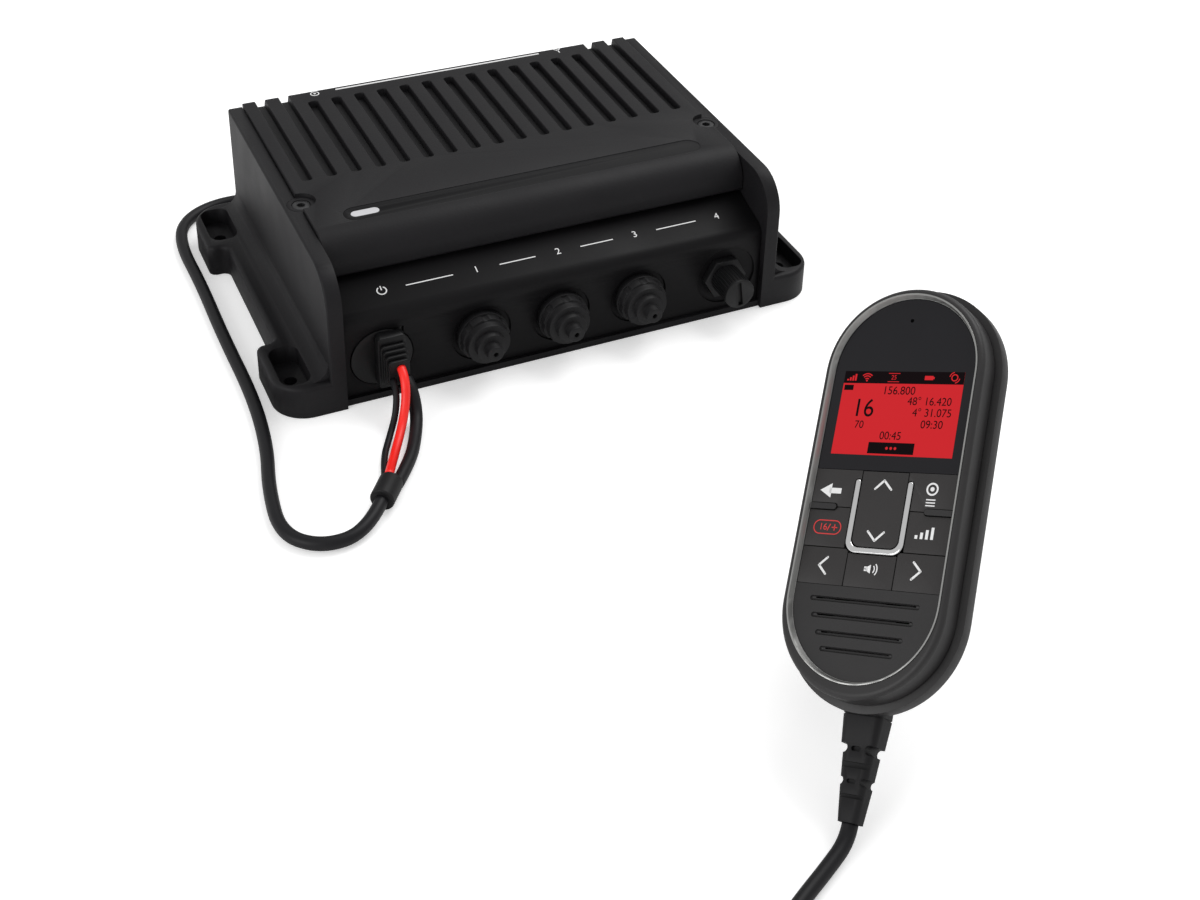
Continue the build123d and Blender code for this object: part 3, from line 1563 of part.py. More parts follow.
with BuildPart() as cord_boot:
    boot_plane = Plane(
        origin=handset_point(0, boot_start, boot_z),
        x_dir=right_dir,
        z_dir=top_dir * -1,
    )
    block_length = boot_start - boot_block_end
    with BuildSketch(boot_plane):
        RectangleRounded(boot_width, boot_height, 2.8)
    extrude(amount=block_length * 0.55)
    with BuildSketch(boot_plane.offset(block_length * 0.55)):
        RectangleRounded(boot_width, boot_height, 2.8)
    extrude(amount=block_length * 0.45, taper=5)
    # Tapering tail
    tail_length = boot_block_end - boot_tip
    for tail_from, tail_to, (wide_from, deep_from), (wide_to, deep_to) in (
        (0, boot_waist_at, boot_neck, boot_waist),
        (boot_waist_at, 1, boot_waist, boot_tip_size),
    ):
        with BuildSketch(boot_plane.offset(block_length + tail_from * tail_length)):
            RectangleRounded(wide_from, deep_from, 0.3 * deep_from)
        with BuildSketch(boot_plane.offset(block_length + tail_to * tail_length)):
            RectangleRounded(wide_to, deep_to, 0.3 * deep_to)
        loft()
    # Seam round the block
    with BuildSketch(boot_plane.offset(boot_seam)):
        Rectangle(2 * boot_width, 2 * boot_height)
        RectangleRounded(boot_width - 0.7, boot_height - 0.7, 2.5, mode=Mode.SUBTRACT)
    extrude(amount=0.5, mode=Mode.SUBTRACT)
    # Notches in the sides, with a pit between them, and notches in the front and back
    for notch_y, notch_wide, web_half in side_notches:
        with BuildSketch(HANDSET.offset(boot_z)):
            for side_sign in (-1, 1):
                with Locations((side_sign * (web_half + boot_width / 2), notch_y)):
                    SlotOverall(boot_width, notch_wide)
        extrude(amount=boot_height, both=True, mode=Mode.SUBTRACT)
    for pit_sign in (-1, 1):
        pit_level = boot_z + pit_sign * (boot_waist[1] / 2 - 0.9)
        with BuildSketch(HANDSET.offset(pit_level)):
            for notch_y, notch_wide, web_half in side_notches:
                with Locations((0, notch_y)):
                    SlotOverall(1.1 * web_half, 0.55 * notch_wide)
        extrude(amount=pit_sign * boot_height, mode=Mode.SUBTRACT)
        for notch_y, notch_wide in face_notches:
            along = (boot_block_end - notch_y) / tail_length
            notch_level = boot_neck[1] / 2 - along * (boot_neck[1] - boot_tip_size[1]) / 2 - face_notch_depth
            with BuildSketch(HANDSET.offset(boot_z + pit_sign * notch_level)):
                with Locations((0, notch_y)):
                    Rectangle(2 * boot_width, notch_wide)
            extrude(amount=pit_sign * boot_height, mode=Mode.SUBTRACT)
save(cord_boot, "cord_boot")

boot_exit = handset_point(0, boot_tip - 0.3, boot_z)
handset_cord_route = (
    tuple(boot_exit),
    tuple(boot_exit + top_dir * -5.0),
    (-31.8, -362.8, 2.9),
    (-45.4, -370.0, 2.9),
    (-66.0, -382.5, 2.9),
    (-84.0, -389.0, 2.9),
    (-98.0, -389.0, 2.9),
)
save(cord_tube(handset_cord_route, handset_cord_radius, "handset_cord"), "handset_cord")

coil_reach = handset_coil_radius + handset_coil_band - handset_cord_radius
handset_coil_centre = Vector(-122.0, -389.0 - coil_reach)
plug_start = Vector(-86.0, -389.0 - 2 * coil_reach, plug_axis_height)
tail_start = Vector(-122.0, plug_start.Y, 2.9)

with BuildPart() as handset_cord_coil:
    with BuildSketch():
        with Locations((handset_coil_centre.X, handset_coil_centre.Y)):
            Circle(handset_coil_radius + handset_coil_band)
            Circle(handset_coil_radius - handset_coil_band, mode=Mode.SUBTRACT)
    extrude(amount=handset_coil_height)
    fillet(handset_cord_coil.edges().filter_by(GeomType.CIRCLE), radius=2.4)
    with BuildSketch(Plane(origin=handset_cord_route[-1], z_dir=(-1, 0, 0))):
        Circle(handset_cord_radius)
    extrude(amount=24)
    tail = plug_start - tail_start
    with BuildSketch(Plane(origin=tail_start, z_dir=tail)):
        Circle(handset_cord_radius)
    extrude(amount=tail.length - 1.0)
save(handset_cord_coil, "handset_cord_coil")

plug_back = Plane(origin=plug_start, x_dir=(0, 1, 0), z_dir=(1, 0, 0))
shoulder = plug_relief + plug_body

with BuildPart() as handset_plug:
    with BuildSketch(plug_back):
        Circle(4.6)
    extrude(amount=plug_relief)
    with BuildSketch(plug_back.offset(plug_relief)):
        Circle(7.8)
    extrude(amount=plug_body)
    fillet(handset_plug.faces().sort_by(Axis.X)[-1].edges(), radius=0.8)
    with BuildSketch(plug_back.offset(shoulder)):
        Circle(ring_bore - ring_fit)
    extrude(amount=ring_length + 0.6)
    with BuildSketch(plug_back.offset(shoulder + ring_length + 0.6)):
        Circle(ring_bore - 0.7)
    extrude(amount=plug_nose)
    with BuildSketch(plug_back.offset(shoulder + ring_length + 0.6 + plug_nose)):
        Circle(ring_bore - 1.9)
    extrude(amount=-plug_nose, mode=Mode.SUBTRACT)
    with BuildSketch(plug_back.offset(shoulder + ring_length + 0.6)):
        with PolarLocations(2.0, 6):
            Circle(0.5)
    extrude(amount=plug_nose - 1)
save(handset_plug, "handset_plug")

with BuildPart() as lock_ring:
    with BuildSketch(plug_back.offset(shoulder + 0.3)):
        Circle(ring_outer)
        with PolarLocations(ring_outer + 0.3, 24):
            Circle(0.7, mode=Mode.SUBTRACT)
        Circle(ring_bore, mode=Mode.SUBTRACT)
    extrude(amount=ring_length)
save(lock_ring, "lock_ring")

print("boot exit", boot_exit, "lug", lug_point)
print("plug end", plug_end, "sleeve end", sleeve_end)
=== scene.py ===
"""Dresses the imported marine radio: finishes, cords, printed marks, the lit screen and the studio."""

import math

import bmesh
import bpy
from mathutils import Matrix, Vector


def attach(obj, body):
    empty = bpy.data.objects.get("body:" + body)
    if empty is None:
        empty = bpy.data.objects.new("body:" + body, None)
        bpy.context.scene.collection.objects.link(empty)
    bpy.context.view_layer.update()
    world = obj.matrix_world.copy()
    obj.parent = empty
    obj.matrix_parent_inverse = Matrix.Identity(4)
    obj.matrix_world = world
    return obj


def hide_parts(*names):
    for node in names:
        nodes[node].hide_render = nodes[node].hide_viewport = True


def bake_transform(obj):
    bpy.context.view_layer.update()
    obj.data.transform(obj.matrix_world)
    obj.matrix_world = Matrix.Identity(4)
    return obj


bl_info = {
    "name": "Marine Radio",
    "version": (1, 0, 0),
    "blender": (4, 5, 0),
    "location": "View3D > Sidebar > Radio",
    "description": "Finishes, cords and printed marks for a black-box radio and its handset",
    "category": "Object",
}

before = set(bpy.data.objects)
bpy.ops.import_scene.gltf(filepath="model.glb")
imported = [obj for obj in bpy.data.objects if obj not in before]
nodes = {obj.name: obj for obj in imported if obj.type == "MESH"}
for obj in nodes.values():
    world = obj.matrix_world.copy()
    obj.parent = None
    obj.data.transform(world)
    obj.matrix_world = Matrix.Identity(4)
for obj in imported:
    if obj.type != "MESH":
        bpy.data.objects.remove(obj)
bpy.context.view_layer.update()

MM = 0.001


def axes_at(origin, across, up, out):
    """A placing matrix from an origin and three unit directions."""
    return Matrix.Translation(origin) @ Matrix((across, up, out)).transposed().to_4x4()


# Handset plane: centre, right, top and outward directions
HEADING = math.radians(188.9)
TILT = math.radians(45.0)
SPIN = math.radians(32.3)
ALONG = Vector((math.cos(HEADING), math.sin(HEADING), 0))
FACE = ALONG * math.sin(TILT) + Vector((0, 0, math.cos(TILT)))
UPHILL = ALONG * -math.cos(TILT) + Vector((0, 0, math.sin(TILT)))
LEVEL = UPHILL.cross(FACE)
RIGHT = LEVEL * math.cos(SPIN) + UPHILL * math.sin(SPIN)
TOP = UPHILL * math.cos(SPIN) - LEVEL * math.sin(SPIN)
HANDSET_CENTRE = Vector((24.8, -288.2, 82.7)) * MM
HANDSET = axes_at(HANDSET_CENTRE, RIGHT, TOP, FACE)
# The keypad's symbols sit a little off the handset's centre line
KEYPAD = HANDSET @ Matrix.Translation(Vector((-0.47, 0.23, 0)) * MM)

# Connector shelf: a plane that slopes up and back
SHELF_FRONT = Vector((0, -76.0, 41.5)) * MM
SHELF_BACK = Vector((0, -57.0, 47.4)) * MM
SHELF_UP = (SHELF_BACK - SHELF_FRONT).normalized()
SHELF_ACROSS = Vector((1, 0, 0))
SHELF = axes_at(SHELF_FRONT, SHELF_ACROSS, SHELF_UP, SHELF_ACROSS.cross(SHELF_UP))
COVER_TOP = 68.0 * MM
COVER = Matrix.Translation((0, 0, COVER_TOP))


# ------------------------------------------------------------------ sizes and colours

class RadioLook(bpy.types.PropertyGroup):
    """Colours of the case and the handset."""

    case_colour: bpy.props.FloatVectorProperty(
        name="Case", description="Powder coat of the transceiver", subtype="COLOR", size=3,
        min=0, max=1, default=(0.0085, 0.0080, 0.0092))
    handset_colour: bpy.props.FloatVectorProperty(
        name="Handset", description="Moulded shell of the handset", subtype="COLOR", size=3,
        min=0, max=1, default=(0.0185, 0.0175, 0.018))
    key_colour: bpy.props.FloatVectorProperty(
        name="Keys", description="Keypad of the handset", subtype="COLOR", size=3,
        min=0, max=1, default=(0.026, 0.024, 0.024))
    screen_colour: bpy.props.FloatVectorProperty(
        name="Screen", description="Backlight of the display", subtype="COLOR", size=3,
        min=0, max=1, default=(0.60, 0.018, 0.024))
    wire_colour: bpy.props.FloatVectorProperty(
        name="Supply wire", description="Insulation of the positive wire", subtype="COLOR", size=3,
        min=0, max=1, default=(1.0, 0.016, 0.010))


class RadioSizes(bpy.types.PropertyGroup):
    """Diameters of the cords."""

    handset_cord: bpy.props.FloatProperty(
        name="Handset cord", description="Diameter of the handset's cord", unit="LENGTH", default=0.0054)
    power_cable: bpy.props.FloatProperty(
        name="Power cable", description="Diameter of the power cable", unit="LENGTH", default=0.0056)


# ------------------------------------------------------------------ node helpers

def group_tree(name, inputs, outputs):
    """An empty shader group with its sockets; returns the tree, its input node and its output node."""
    tree = bpy.data.node_groups.new(name, "ShaderNodeTree")
    for label, kind, default in inputs:
        socket = tree.interface.new_socket(label, in_out="INPUT", socket_type=kind)
        if default is not None:
            socket.default_value = default
    for label, kind in outputs:
        tree.interface.new_socket(label, in_out="OUTPUT", socket_type=kind)
    return tree, tree.nodes.new("NodeGroupInput"), tree.nodes.new("NodeGroupOutput")


def noise(tree, vector, scale, detail, roughness):
    """A noise texture on a vector."""
    node = tree.nodes.new("ShaderNodeTexNoise")
    node.inputs["Scale"].default_value = scale
    node.inputs["Detail"].default_value = detail
    node.inputs["Roughness"].default_value = roughness
    tree.links.new(vector, node.inputs["Vector"])
    return node


def sum_of(tree, kind, first, second):
    """A math node on two numbers or sockets."""
    node = tree.nodes.new("ShaderNodeMath")
    node.operation = kind
    for socket, value in zip(node.inputs, (first, second)):
        if isinstance(value, (int, float)):
            socket.default_value = value
        else:
            tree.links.new(value, socket)
    return node.outputs[0]


def spread(tree, value, low, high):
    """Maps a noise's middle range to low…high."""
    node = tree.nodes.new("ShaderNodeMapRange")
    node.inputs["From Min"].default_value = 0.3
    node.inputs["From Max"].default_value = 0.7
    tree.links.new(value, node.inputs["Value"])
    for name, end in (("To Min", low), ("To Max", high)):
        if isinstance(end, (int, float)):
            node.inputs[name].default_value = end
        else:
            tree.links.new(end, node.inputs[name])
    return node.outputs[0]


def grain_group():
    """Fine moulded or sprayed grain: a height, and a slow mottle for colour and gloss."""
    tree, into, out = group_tree(
        "Surface grain",
        [("Vector", "NodeSocketVector", None), ("Grain size", "NodeSocketFloat", 1500.0),
         ("Mottle size", "NodeSocketFloat", 30.0)],
        [("Height", "NodeSocketFloat"), ("Mottle", "NodeSocketFloat")],
    )
    fine = noise(tree, into.outputs["Vector"], 1500.0, 3.0, 0.6)
    tree.links.new(into.outputs["Grain size"], fine.inputs["Scale"])
    slow = noise(tree, into.outputs["Vector"], 30.0, 4.0, 0.55)
    tree.links.new(into.outputs["Mottle size"], slow.inputs["Scale"])
    tree.links.new(fine.outputs["Fac"], out.inputs["Height"])
    tree.links.new(slow.outputs["Fac"], out.inputs["Mottle"])
    return tree


def wear_group():
    """Dust and rubbed spots: a mask from two noises of different size."""
    tree, into, out = group_tree(
        "Dust and rub",
        [("Vector", "NodeSocketVector", None), ("Amount", "NodeSocketFloat", 0.2)],
        [("Mask", "NodeSocketFloat")],
    )
    broad = noise(tree, into.outputs["Vector"], 18.0, 5.0, 0.6)
    specks = noise(tree, into.outputs["Vector"], 420.0, 2.0, 0.7)
    both = sum_of(tree, "MULTIPLY", broad.outputs["Fac"], specks.outputs["Fac"])
    shaped = tree.nodes.new("ShaderNodeMapRange")
    shaped.inputs["From Min"].default_value = 0.2
    shaped.inputs["From Max"].default_value = 0.45
    tree.links.new(both, shaped.inputs["Value"])
    tree.links.new(sum_of(tree, "MULTIPLY", shaped.outputs[0], into.outputs["Amount"]), out.inputs["Mask"])
    return tree


GROUPS = {}


BUMP_REACH = 0.0002


def finish(name, colour, roughness, grain=1500.0, bump=0.05, mottle=0.12, gloss_mottle=0.06,
           metallic=0.0, specular=0.5, dust=0.1, emission=None, strength=0.0):
    """A material whose colour, gloss and surface vary by object coordinates."""
    material = bpy.data.materials.new(name)
    material.use_nodes = True
    tree = material.node_tree
    shader = tree.nodes["Principled BSDF"]
    place = tree.nodes.new("ShaderNodeTexCoord").outputs["Object"]
    surface = tree.nodes.new("ShaderNodeGroup")
    surface.node_tree = GROUPS["grain"]
    surface.inputs["Grain size"].default_value = grain
    tree.links.new(place, surface.inputs["Vector"])
    worn = tree.nodes.new("ShaderNodeGroup")
    worn.node_tree = GROUPS["wear"]
    worn.inputs["Amount"].default_value = dust
    tree.links.new(place, worn.inputs["Vector"])
    shade = tree.nodes.new("ShaderNodeMix")
    shade.data_type = "RGBA"
    shade.inputs["A"].default_value = (*[c * (1 - mottle) for c in colour], 1)
    shade.inputs["B"].default_value = (*[min(1, c * (1 + mottle)) for c in colour], 1)
    tree.links.new(spread(tree, surface.outputs["Mottle"], 0.0, 1.0), shade.inputs["Factor"])
    dusty = tree.nodes.new("ShaderNodeMix")
    dusty.data_type = "RGBA"
    dusty.inputs["B"].default_value = (*[c * 0.75 + 0.03 for c in colour], 1)
    tree.links.new(shade.outputs["Result"], dusty.inputs["A"])
    tree.links.new(worn.outputs["Mask"], dusty.inputs["Factor"])
    tree.links.new(dusty.outputs["Result"], shader.inputs["Base Color"])
    tree.links.new(
        spread(tree, surface.outputs["Mottle"], roughness - gloss_mottle, roughness + gloss_mottle),
        shader.inputs["Roughness"])
    relief = tree.nodes.new("ShaderNodeBump")
    relief.inputs["Strength"].default_value = bump
    relief.inputs["Distance"].default_value = BUMP_REACH
    tree.links.new(surface.outputs["Height"], relief.inputs["Height"])
    tree.links.new(relief.outputs["Normal"], shader.inputs["Normal"])
    shader.inputs["Metallic"].default_value = metallic
    shader.inputs["Specular IOR Level"].default_value = specular
    if emission:
        shader.inputs["Emission Color"].default_value = (*emission, 1)
        shader.inputs["Emission Strength"].default_value = strength
    return material


FINISH = {}


def make_finishes(look):
    """Every finish of the radio, by name."""
    GROUPS["grain"] = grain_group()
    GROUPS["wear"] = wear_group()
    case = tuple(look.case_colour)
    shell = tuple(look.handset_colour)
    FINISH.update({
        "cast": finish("Powder coat", case, 0.52, 1100, 0.35, 0.10, 0.05, specular=0.2, dust=0.04),
        "panel": finish("Panel plastic", (0.0044, 0.0041, 0.0047),
                        0.5, 1600, 0.2, 0.08, 0.05, specular=0.14, dust=0.02),
        "rubber": finish("Moulded rubber", (0.0065, 0.0062, 0.0070),
                         0.55, 900, 0.2, 0.10, 0.06, specular=0.25, dust=0.06),
        "socket": finish("Socket plastic", (0.0050, 0.0050, 0.0055),
                         0.42, 1600, 0.1, 0.08, 0.05, specular=0.25, dust=0.03),
        "strip": finish("Printed film", (0.0042, 0.0040, 0.0047),
                        0.42, 1800, 0.06, 0.05, 0.03, specular=0.12, dust=0.01),
        "light": finish("Light pipe", (0.62, 0.62, 0.64), 0.35, 1500, 0.03, 0.03, 0.03, dust=0.02),
        "steel": finish("Screw steel", (0.05, 0.05, 0.052),
                        0.38, 1500, 0.1, 0.1, 0.08, metallic=0.7, dust=0.05),
        "bracket": finish("Bracket paint", (0.010, 0.010, 0.011),
                          0.45, 900, 0.2, 0.08, 0.05, specular=0.3, dust=0.05),
        "nickel": finish("Plated brass", (0.66, 0.64, 0.60),
                         0.22, 900, 0.05, 0.05, 0.05, metallic=1.0, dust=0.04),
        "circuit": finish("Circuit board", (0.02, 0.10, 0.045), 0.35, 1200, 0.05, 0.1, 0.04, dust=0.03),
        "can": finish("Shielding can", (0.62, 0.63, 0.64),
                      0.3, 900, 0.05, 0.05, 0.05, metallic=1.0, dust=0.03),
        "pad": finish("Heat pad", (0.30, 0.33, 0.38), 0.7, 900, 0.1, 0.08, 0.05, dust=0.02),
        "wire_red": finish("Wire insulation", tuple(look.wire_colour), 0.38, 900, 0.04, 0.05, 0.04, dust=0.0),
        "cord": finish("Cord jacket", (0.0060, 0.0058, 0.0072),
                       0.48, 1300, 0.12, 0.08, 0.05, specular=0.25, dust=0.04),
        "shell": finish("Handset shell", shell, 0.46, 1900, 0.16, 0.08, 0.05, specular=0.4, dust=0.05),
        "keys": finish("Keypad", tuple(look.key_colour),
                       0.5, 1700, 0.14, 0.06, 0.05, specular=0.35, dust=0.04),
        "ring": finish("Satin ring", (0.40, 0.40, 0.39),
                       0.33, 1500, 0.0, 0.02, 0.02, metallic=1.0, dust=0.01),
        "chrome": finish("Polished trim", (0.75, 0.75, 0.75),
                         0.12, 900, 0.02, 0.03, 0.03, metallic=1.0, dust=0.02),
        "glass": finish("Window glass", (0.010, 0.0095, 0.0115),
                        0.16, 900, 0.0, 0.04, 0.02, specular=0.25, dust=0.0),
        "lit": finish("Lit screen", tuple(c * 0.25 for c in look.screen_colour), 0.4, 900, 0.0, 0.03, 0.02,
                      specular=0.08, dust=0.0, emission=tuple(look.screen_colour), strength=0.75),
        "ink": finish("White print", (0.80, 0.80, 0.80), 0.5, 1500, 0.02, 0.03, 0.03, dust=0.03),
        "red_ink": finish("Red print", (0.62, 0.03, 0.03), 0.5, 1500, 0.02, 0.03, 0.03, dust=0.03),
        "lcd_ink": finish("Screen segments", (0.004, 0.0012, 0.002),
                          0.4, 1500, 0.0, 0.03, 0.03, specular=0.06, dust=0.0),
        "alarm": finish("Alarm red", (0.55, 0.02, 0.015), 0.35, 1400, 0.05, 0.05, 0.04, dust=0.03),
    })


NODE_FINISH = {
    "cast": ("chassis", "top_cover"),
    "panel": ("front_panel",),
    "socket": ("power_socket", "handset_port_1", "handset_port_2", "hub_port", "data_port", "port_nuts",
               "blanking_plug", "power_plug", "fuse_holder", "handset_plug", "lock_ring"),
    "rubber": ("cover_gasket", "dust_cap_1", "dust_cap_2", "dust_cap_3", "keypad_mat", "cord_boot",
               "wire_sleeve"),
    "strip": ("label_strip",),
    "light": ("status_light_pipe",),
    "circuit": ("main_board", "handset_board"),
    "steel": ("board_screws", "case_screws", "cover_screws"),
    "bracket": ("hanger_bracket",),
    "can": ("rf_module",),
    "pad": ("heat_pad",),
    "nickel": ("vhf_antenna_socket", "gps_antenna_socket"),
    "wire_red": ("power_wire_red",),
    "cord": ("power_wire_black", "power_wire_thin", "power_cable", "power_cable_coil", "handset_cord",
             "handset_cord_coil"),
    "shell": ("handset_front_case", "handset_back_case", "ptt_key", "hang_lug", "loudspeaker", "microphone"),
    "keys": ("back_key", "channel_key", "ok_key", "power_level_key", "left_key", "volume_key", "right_key",
             "rocker_key"),
    "ring": ("bezel_ring",),
    "chrome": ("keypad_trim",),
    "glass": ("display_window",),
    "lit": ("display_module",),
    "alarm": ("distress_key", "distress_cover"),
}


WELD_REACH = 2e-6
FLAT_WITHIN = math.radians(0.6)
SHARP_PAST = math.radians(32.0)


def soften(piece, width):
    """Rounds a carried node's sharp edges without touching its mesh."""
    weld = piece.modifiers.new("Join faces", "WELD")
    weld.merge_threshold = WELD_REACH
    flat = piece.modifiers.new("Clean faces", "DECIMATE")
    flat.decimate_type = "DISSOLVE"
    flat.angle_limit = FLAT_WITHIN
    bevel = piece.modifiers.new("Soft edges", "BEVEL")
    bevel.width = width
    bevel.segments = 2
    bevel.limit_method = "ANGLE"
    bevel.angle_limit = SHARP_PAST
    bevel.harden_normals = True
    for polygon in piece.data.polygons:
        polygon.use_smooth = True


# ------------------------------------------------------------------ mesh helpers

def new_piece(name, mesh, material, body):
    """Links a finished mesh as a piece that rides on a body."""
    piece = bpy.data.objects.new(name, mesh)
    bpy.context.scene.collection.objects.link(piece)
    if not piece.data.materials:
        piece.data.materials.append(material)
    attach(piece, body)
    return piece


def mesh_of(holder):
    """The mesh that a curve or text object shows."""
    bpy.context.view_layer.update()
    return bpy.data.meshes.new_from_object(holder.evaluated_get(bpy.context.evaluated_depsgraph_get()))


def cord_data(name, points, diameter, material):
    """A smooth round curve through given control points, in metres."""
    data = bpy.data.curves.new(name, "CURVE")
    data.dimensions = "3D"
    data.bevel_depth = diameter / 2
    data.bevel_resolution = 5
    data.use_fill_caps = True
    spline = data.splines.new("NURBS")
    spline.points.add(len(points) - 1)
    for control, point in zip(spline.points, points):
        control.co = (*point, 1)
    spline.order_u = 3
    spline.use_endpoint_u = True
    spline.resolution_u = 10
    data.materials.append(material)
    return data


def cord_curve(name, points, diameter, material, body):
    """A cord that rides on one body."""
    piece = bpy.data.objects.new(name, cord_data(name, points, diameter, material))
    bpy.context.scene.collection.objects.link(piece)
    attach(piece, body)
    return piece


def bending_cord(name, points, diameter, material):
    """A cord as a mesh tube, with the line that it follows."""
    data = cord_data(name, points, diameter, material)
    holder = bpy.data.objects.new(name + "_line", data)
    bpy.context.scene.collection.objects.link(holder)
    mesh = mesh_of(holder)
    data.bevel_depth = 0
    data.use_fill_caps = False
    line = mesh_of(holder)
    path = [tuple(vert.co) for vert in line.vertices]
    bpy.data.meshes.remove(line)
    bpy.data.objects.remove(holder)
    bpy.data.curves.remove(data)
    bm = bmesh.new()
    bm.from_mesh(mesh)
    bmesh.ops.remove_doubles(bm, verts=bm.verts, dist=1e-6)
    bmesh.ops.recalc_face_normals(bm, faces=bm.faces)
    bm.to_mesh(mesh)
    bm.free()
    mesh.polygons.foreach_set("use_smooth", [True] * len(mesh.polygons))
    if not mesh.materials:
        mesh.materials.append(material)
    piece = bpy.data.objects.new(name, mesh)
    bpy.context.scene.collection.objects.link(piece)
    return piece, path


# ------------------------------------------------------------------ operators

CAMERA_PLACE = (-0.25814, -0.66922, 0.47031)
CAMERA_TURN = (-26.2, 30.8, 2.2)  # azimuth, elevation and roll in degrees
CAMERA_LENS = 53.99
CAMERA_SHIFT = (-0.0297, -0.2173)
FLOOR_HALF = 6.0
FLOOR_DROP = 0.0002
FLOOR_COLOUR = (0.93, 0.93, 0.93, 1)
FLOOR_GLOW = 0.38
WORLD_LIGHT = 0.62
LAMPS = (
    ("Key", (0.9, 0.3, 1.5), (0, -0.1, 0), (1.2, 1.0), 14),
    ("Left fill", (-1.3, -0.55, 0.6), (0, -0.1, 0.03), (0.8, 0.8), 7),
)


def add_camera(scene):
    """The camera, aimed by its azimuth, elevation and roll."""
    azimuth, elevation, roll = (math.radians(angle) for angle in CAMERA_TURN)
    right = Vector((math.cos(azimuth), math.sin(azimuth), 0))
    ahead = Vector((math.sin(azimuth), -math.cos(azimuth), 0))
    back = ahead * math.cos(elevation) + Vector((0, 0, math.sin(elevation)))
    up = back.cross(right)
    side = right * math.cos(roll) + up * math.sin(roll)
    head = up * math.cos(roll) - right * math.sin(roll)
    data = bpy.data.cameras.new("Camera")
    data.lens = CAMERA_LENS
    data.sensor_width = 36.0
    data.shift_x, data.shift_y = CAMERA_SHIFT
    data.clip_end = 20
    camera = bpy.data.objects.new("Camera", data)
    camera.matrix_world = axes_at(CAMERA_PLACE, side, head, back)
    scene.collection.objects.link(camera)
    scene.camera = camera


def add_floor(scene):
    """A pale floor that looks white to the camera and keeps the shadow."""
    bm = bmesh.new()
    bmesh.ops.create_grid(bm, x_segments=2, y_segments=2, size=FLOOR_HALF)
    mesh = bpy.data.meshes.new("Floor")
    bm.to_mesh(mesh)
    bm.free()
    floor = bpy.data.objects.new("Floor", mesh)
    scene.collection.objects.link(floor)
    floor.location.z = -FLOOR_DROP
    material = bpy.data.materials.new("Pale floor")
    material.use_nodes = True
    shader = material.node_tree.nodes["Principled BSDF"]
    shader.inputs["Base Color"].default_value = FLOOR_COLOUR
    shader.inputs["Roughness"].default_value = 0.9
    shader.inputs["Specular IOR Level"].default_value = 0.1
    path = material.node_tree.nodes.new("ShaderNodeLightPath")
    material.node_tree.links.new(path.outputs["Is Camera Ray"], shader.inputs["Emission Color"])
    shader.inputs["Emission Strength"].default_value = FLOOR_GLOW
    mesh.materials.append(material)


def add_world(scene):
    """A world that looks white to the camera and lights the object more softly."""
    world = bpy.data.worlds.new("Studio")
    world.use_nodes = True
    tree = world.node_tree
    background = tree.nodes["Background"]
    background.inputs["Color"].default_value = (1, 1, 1, 1)
    path = tree.nodes.new("ShaderNodeLightPath")
    level = tree.nodes.new("ShaderNodeMapRange")
    level.inputs["To Min"].default_value = WORLD_LIGHT
    level.inputs["To Max"].default_value = 1.0
    tree.links.new(path.outputs["Is Camera Ray"], level.inputs["Value"])
    tree.links.new(level.outputs[0], background.inputs["Strength"])
    scene.world = world


def add_lamp(scene, name, place, target, size, power):
    """A rectangular lamp that points at a target."""
    light = bpy.data.lights.new(name, "AREA")
    light.shape = "RECTANGLE"
    light.size, light.size_y = size
    light.energy = power
    holder = bpy.data.objects.new(name, light)
    holder.location = place
    holder.rotation_euler = (Vector(target) - Vector(place)).to_track_quat("-Z", "Y").to_euler()
    scene.collection.objects.link(holder)


class RADIO_OT_stage(bpy.types.Operator):
    """Camera, floor, backdrop and lights"""

    bl_idname = "radio.stage"
    bl_label = "Stage"

    def execute(self, context):
        scene = context.scene
        scene.view_settings.view_transform = "Standard"
        add_camera(scene)
        add_floor(scene)
        add_world(scene)
        for lamp in LAMPS:
            add_lamp(scene, *lamp)
        return {"FINISHED"}


class RADIO_OT_finishes(bpy.types.Operator):
    """Materials on every carried piece"""

    bl_idname = "radio.finishes"
    bl_label = "Finishes"

    def execute(self, context):
        make_finishes(context.scene.radio_look)
        for name, members in NODE_FINISH.items():
            for member in members:
                piece = nodes[member]
                piece.data.materials.clear()
                piece.data.materials.append(FINISH[name])
        return {"FINISHED"}


class RADIO_OT_edges(bpy.types.Operator):
    """Rounded edges on the carried pieces"""

    bl_idname = "radio.edges"
    bl_label = "Edges"

    def execute(self, context):
        for member, width in EDGE_WIDTHS.items():
            soften(nodes[member], width)
        return {"FINISHED"}


# Width of the rounded edge of each piece, in metres
EDGE_WIDTHS = {
    "chassis": 0.0006, "top_cover": 0.00035, "front_panel": 0.0004, "label_strip": 0.00008,
    "status_light_pipe": 0.0002, "power_plug": 0.0003, "power_socket": 0.0002,
    "dust_cap_1": 0.0004, "dust_cap_2": 0.0004, "dust_cap_3": 0.0004, "blanking_plug": 0.0002,
    "data_port": 0.0002, "handset_port_1": 0.0002, "handset_port_2": 0.0002, "hub_port": 0.0002,
    "handset_back_case": 0.0004, "bezel_ring": 0.00012,
    "rocker_key": 0.00012, "back_key": 0.00012,
    "ok_key": 0.00012, "channel_key": 0.00012, "power_level_key": 0.00012, "left_key": 0.00012,
    "right_key": 0.00012, "volume_key": 0.00012, "ptt_key": 0.0003, "cord_boot": 0.0005,
    "cover_screws": 0.0002, "hang_lug": 0.0003, "hanger_bracket": 0.0003, "distress_cover": 0.0002,
    "distress_key": 0.0002, "vhf_antenna_socket": 0.0002, "gps_antenna_socket": 0.00015,
    "fuse_holder": 0.0003, "handset_plug": 0.0003, "lock_ring": 0.0002, "wire_sleeve": 0.0003,
}


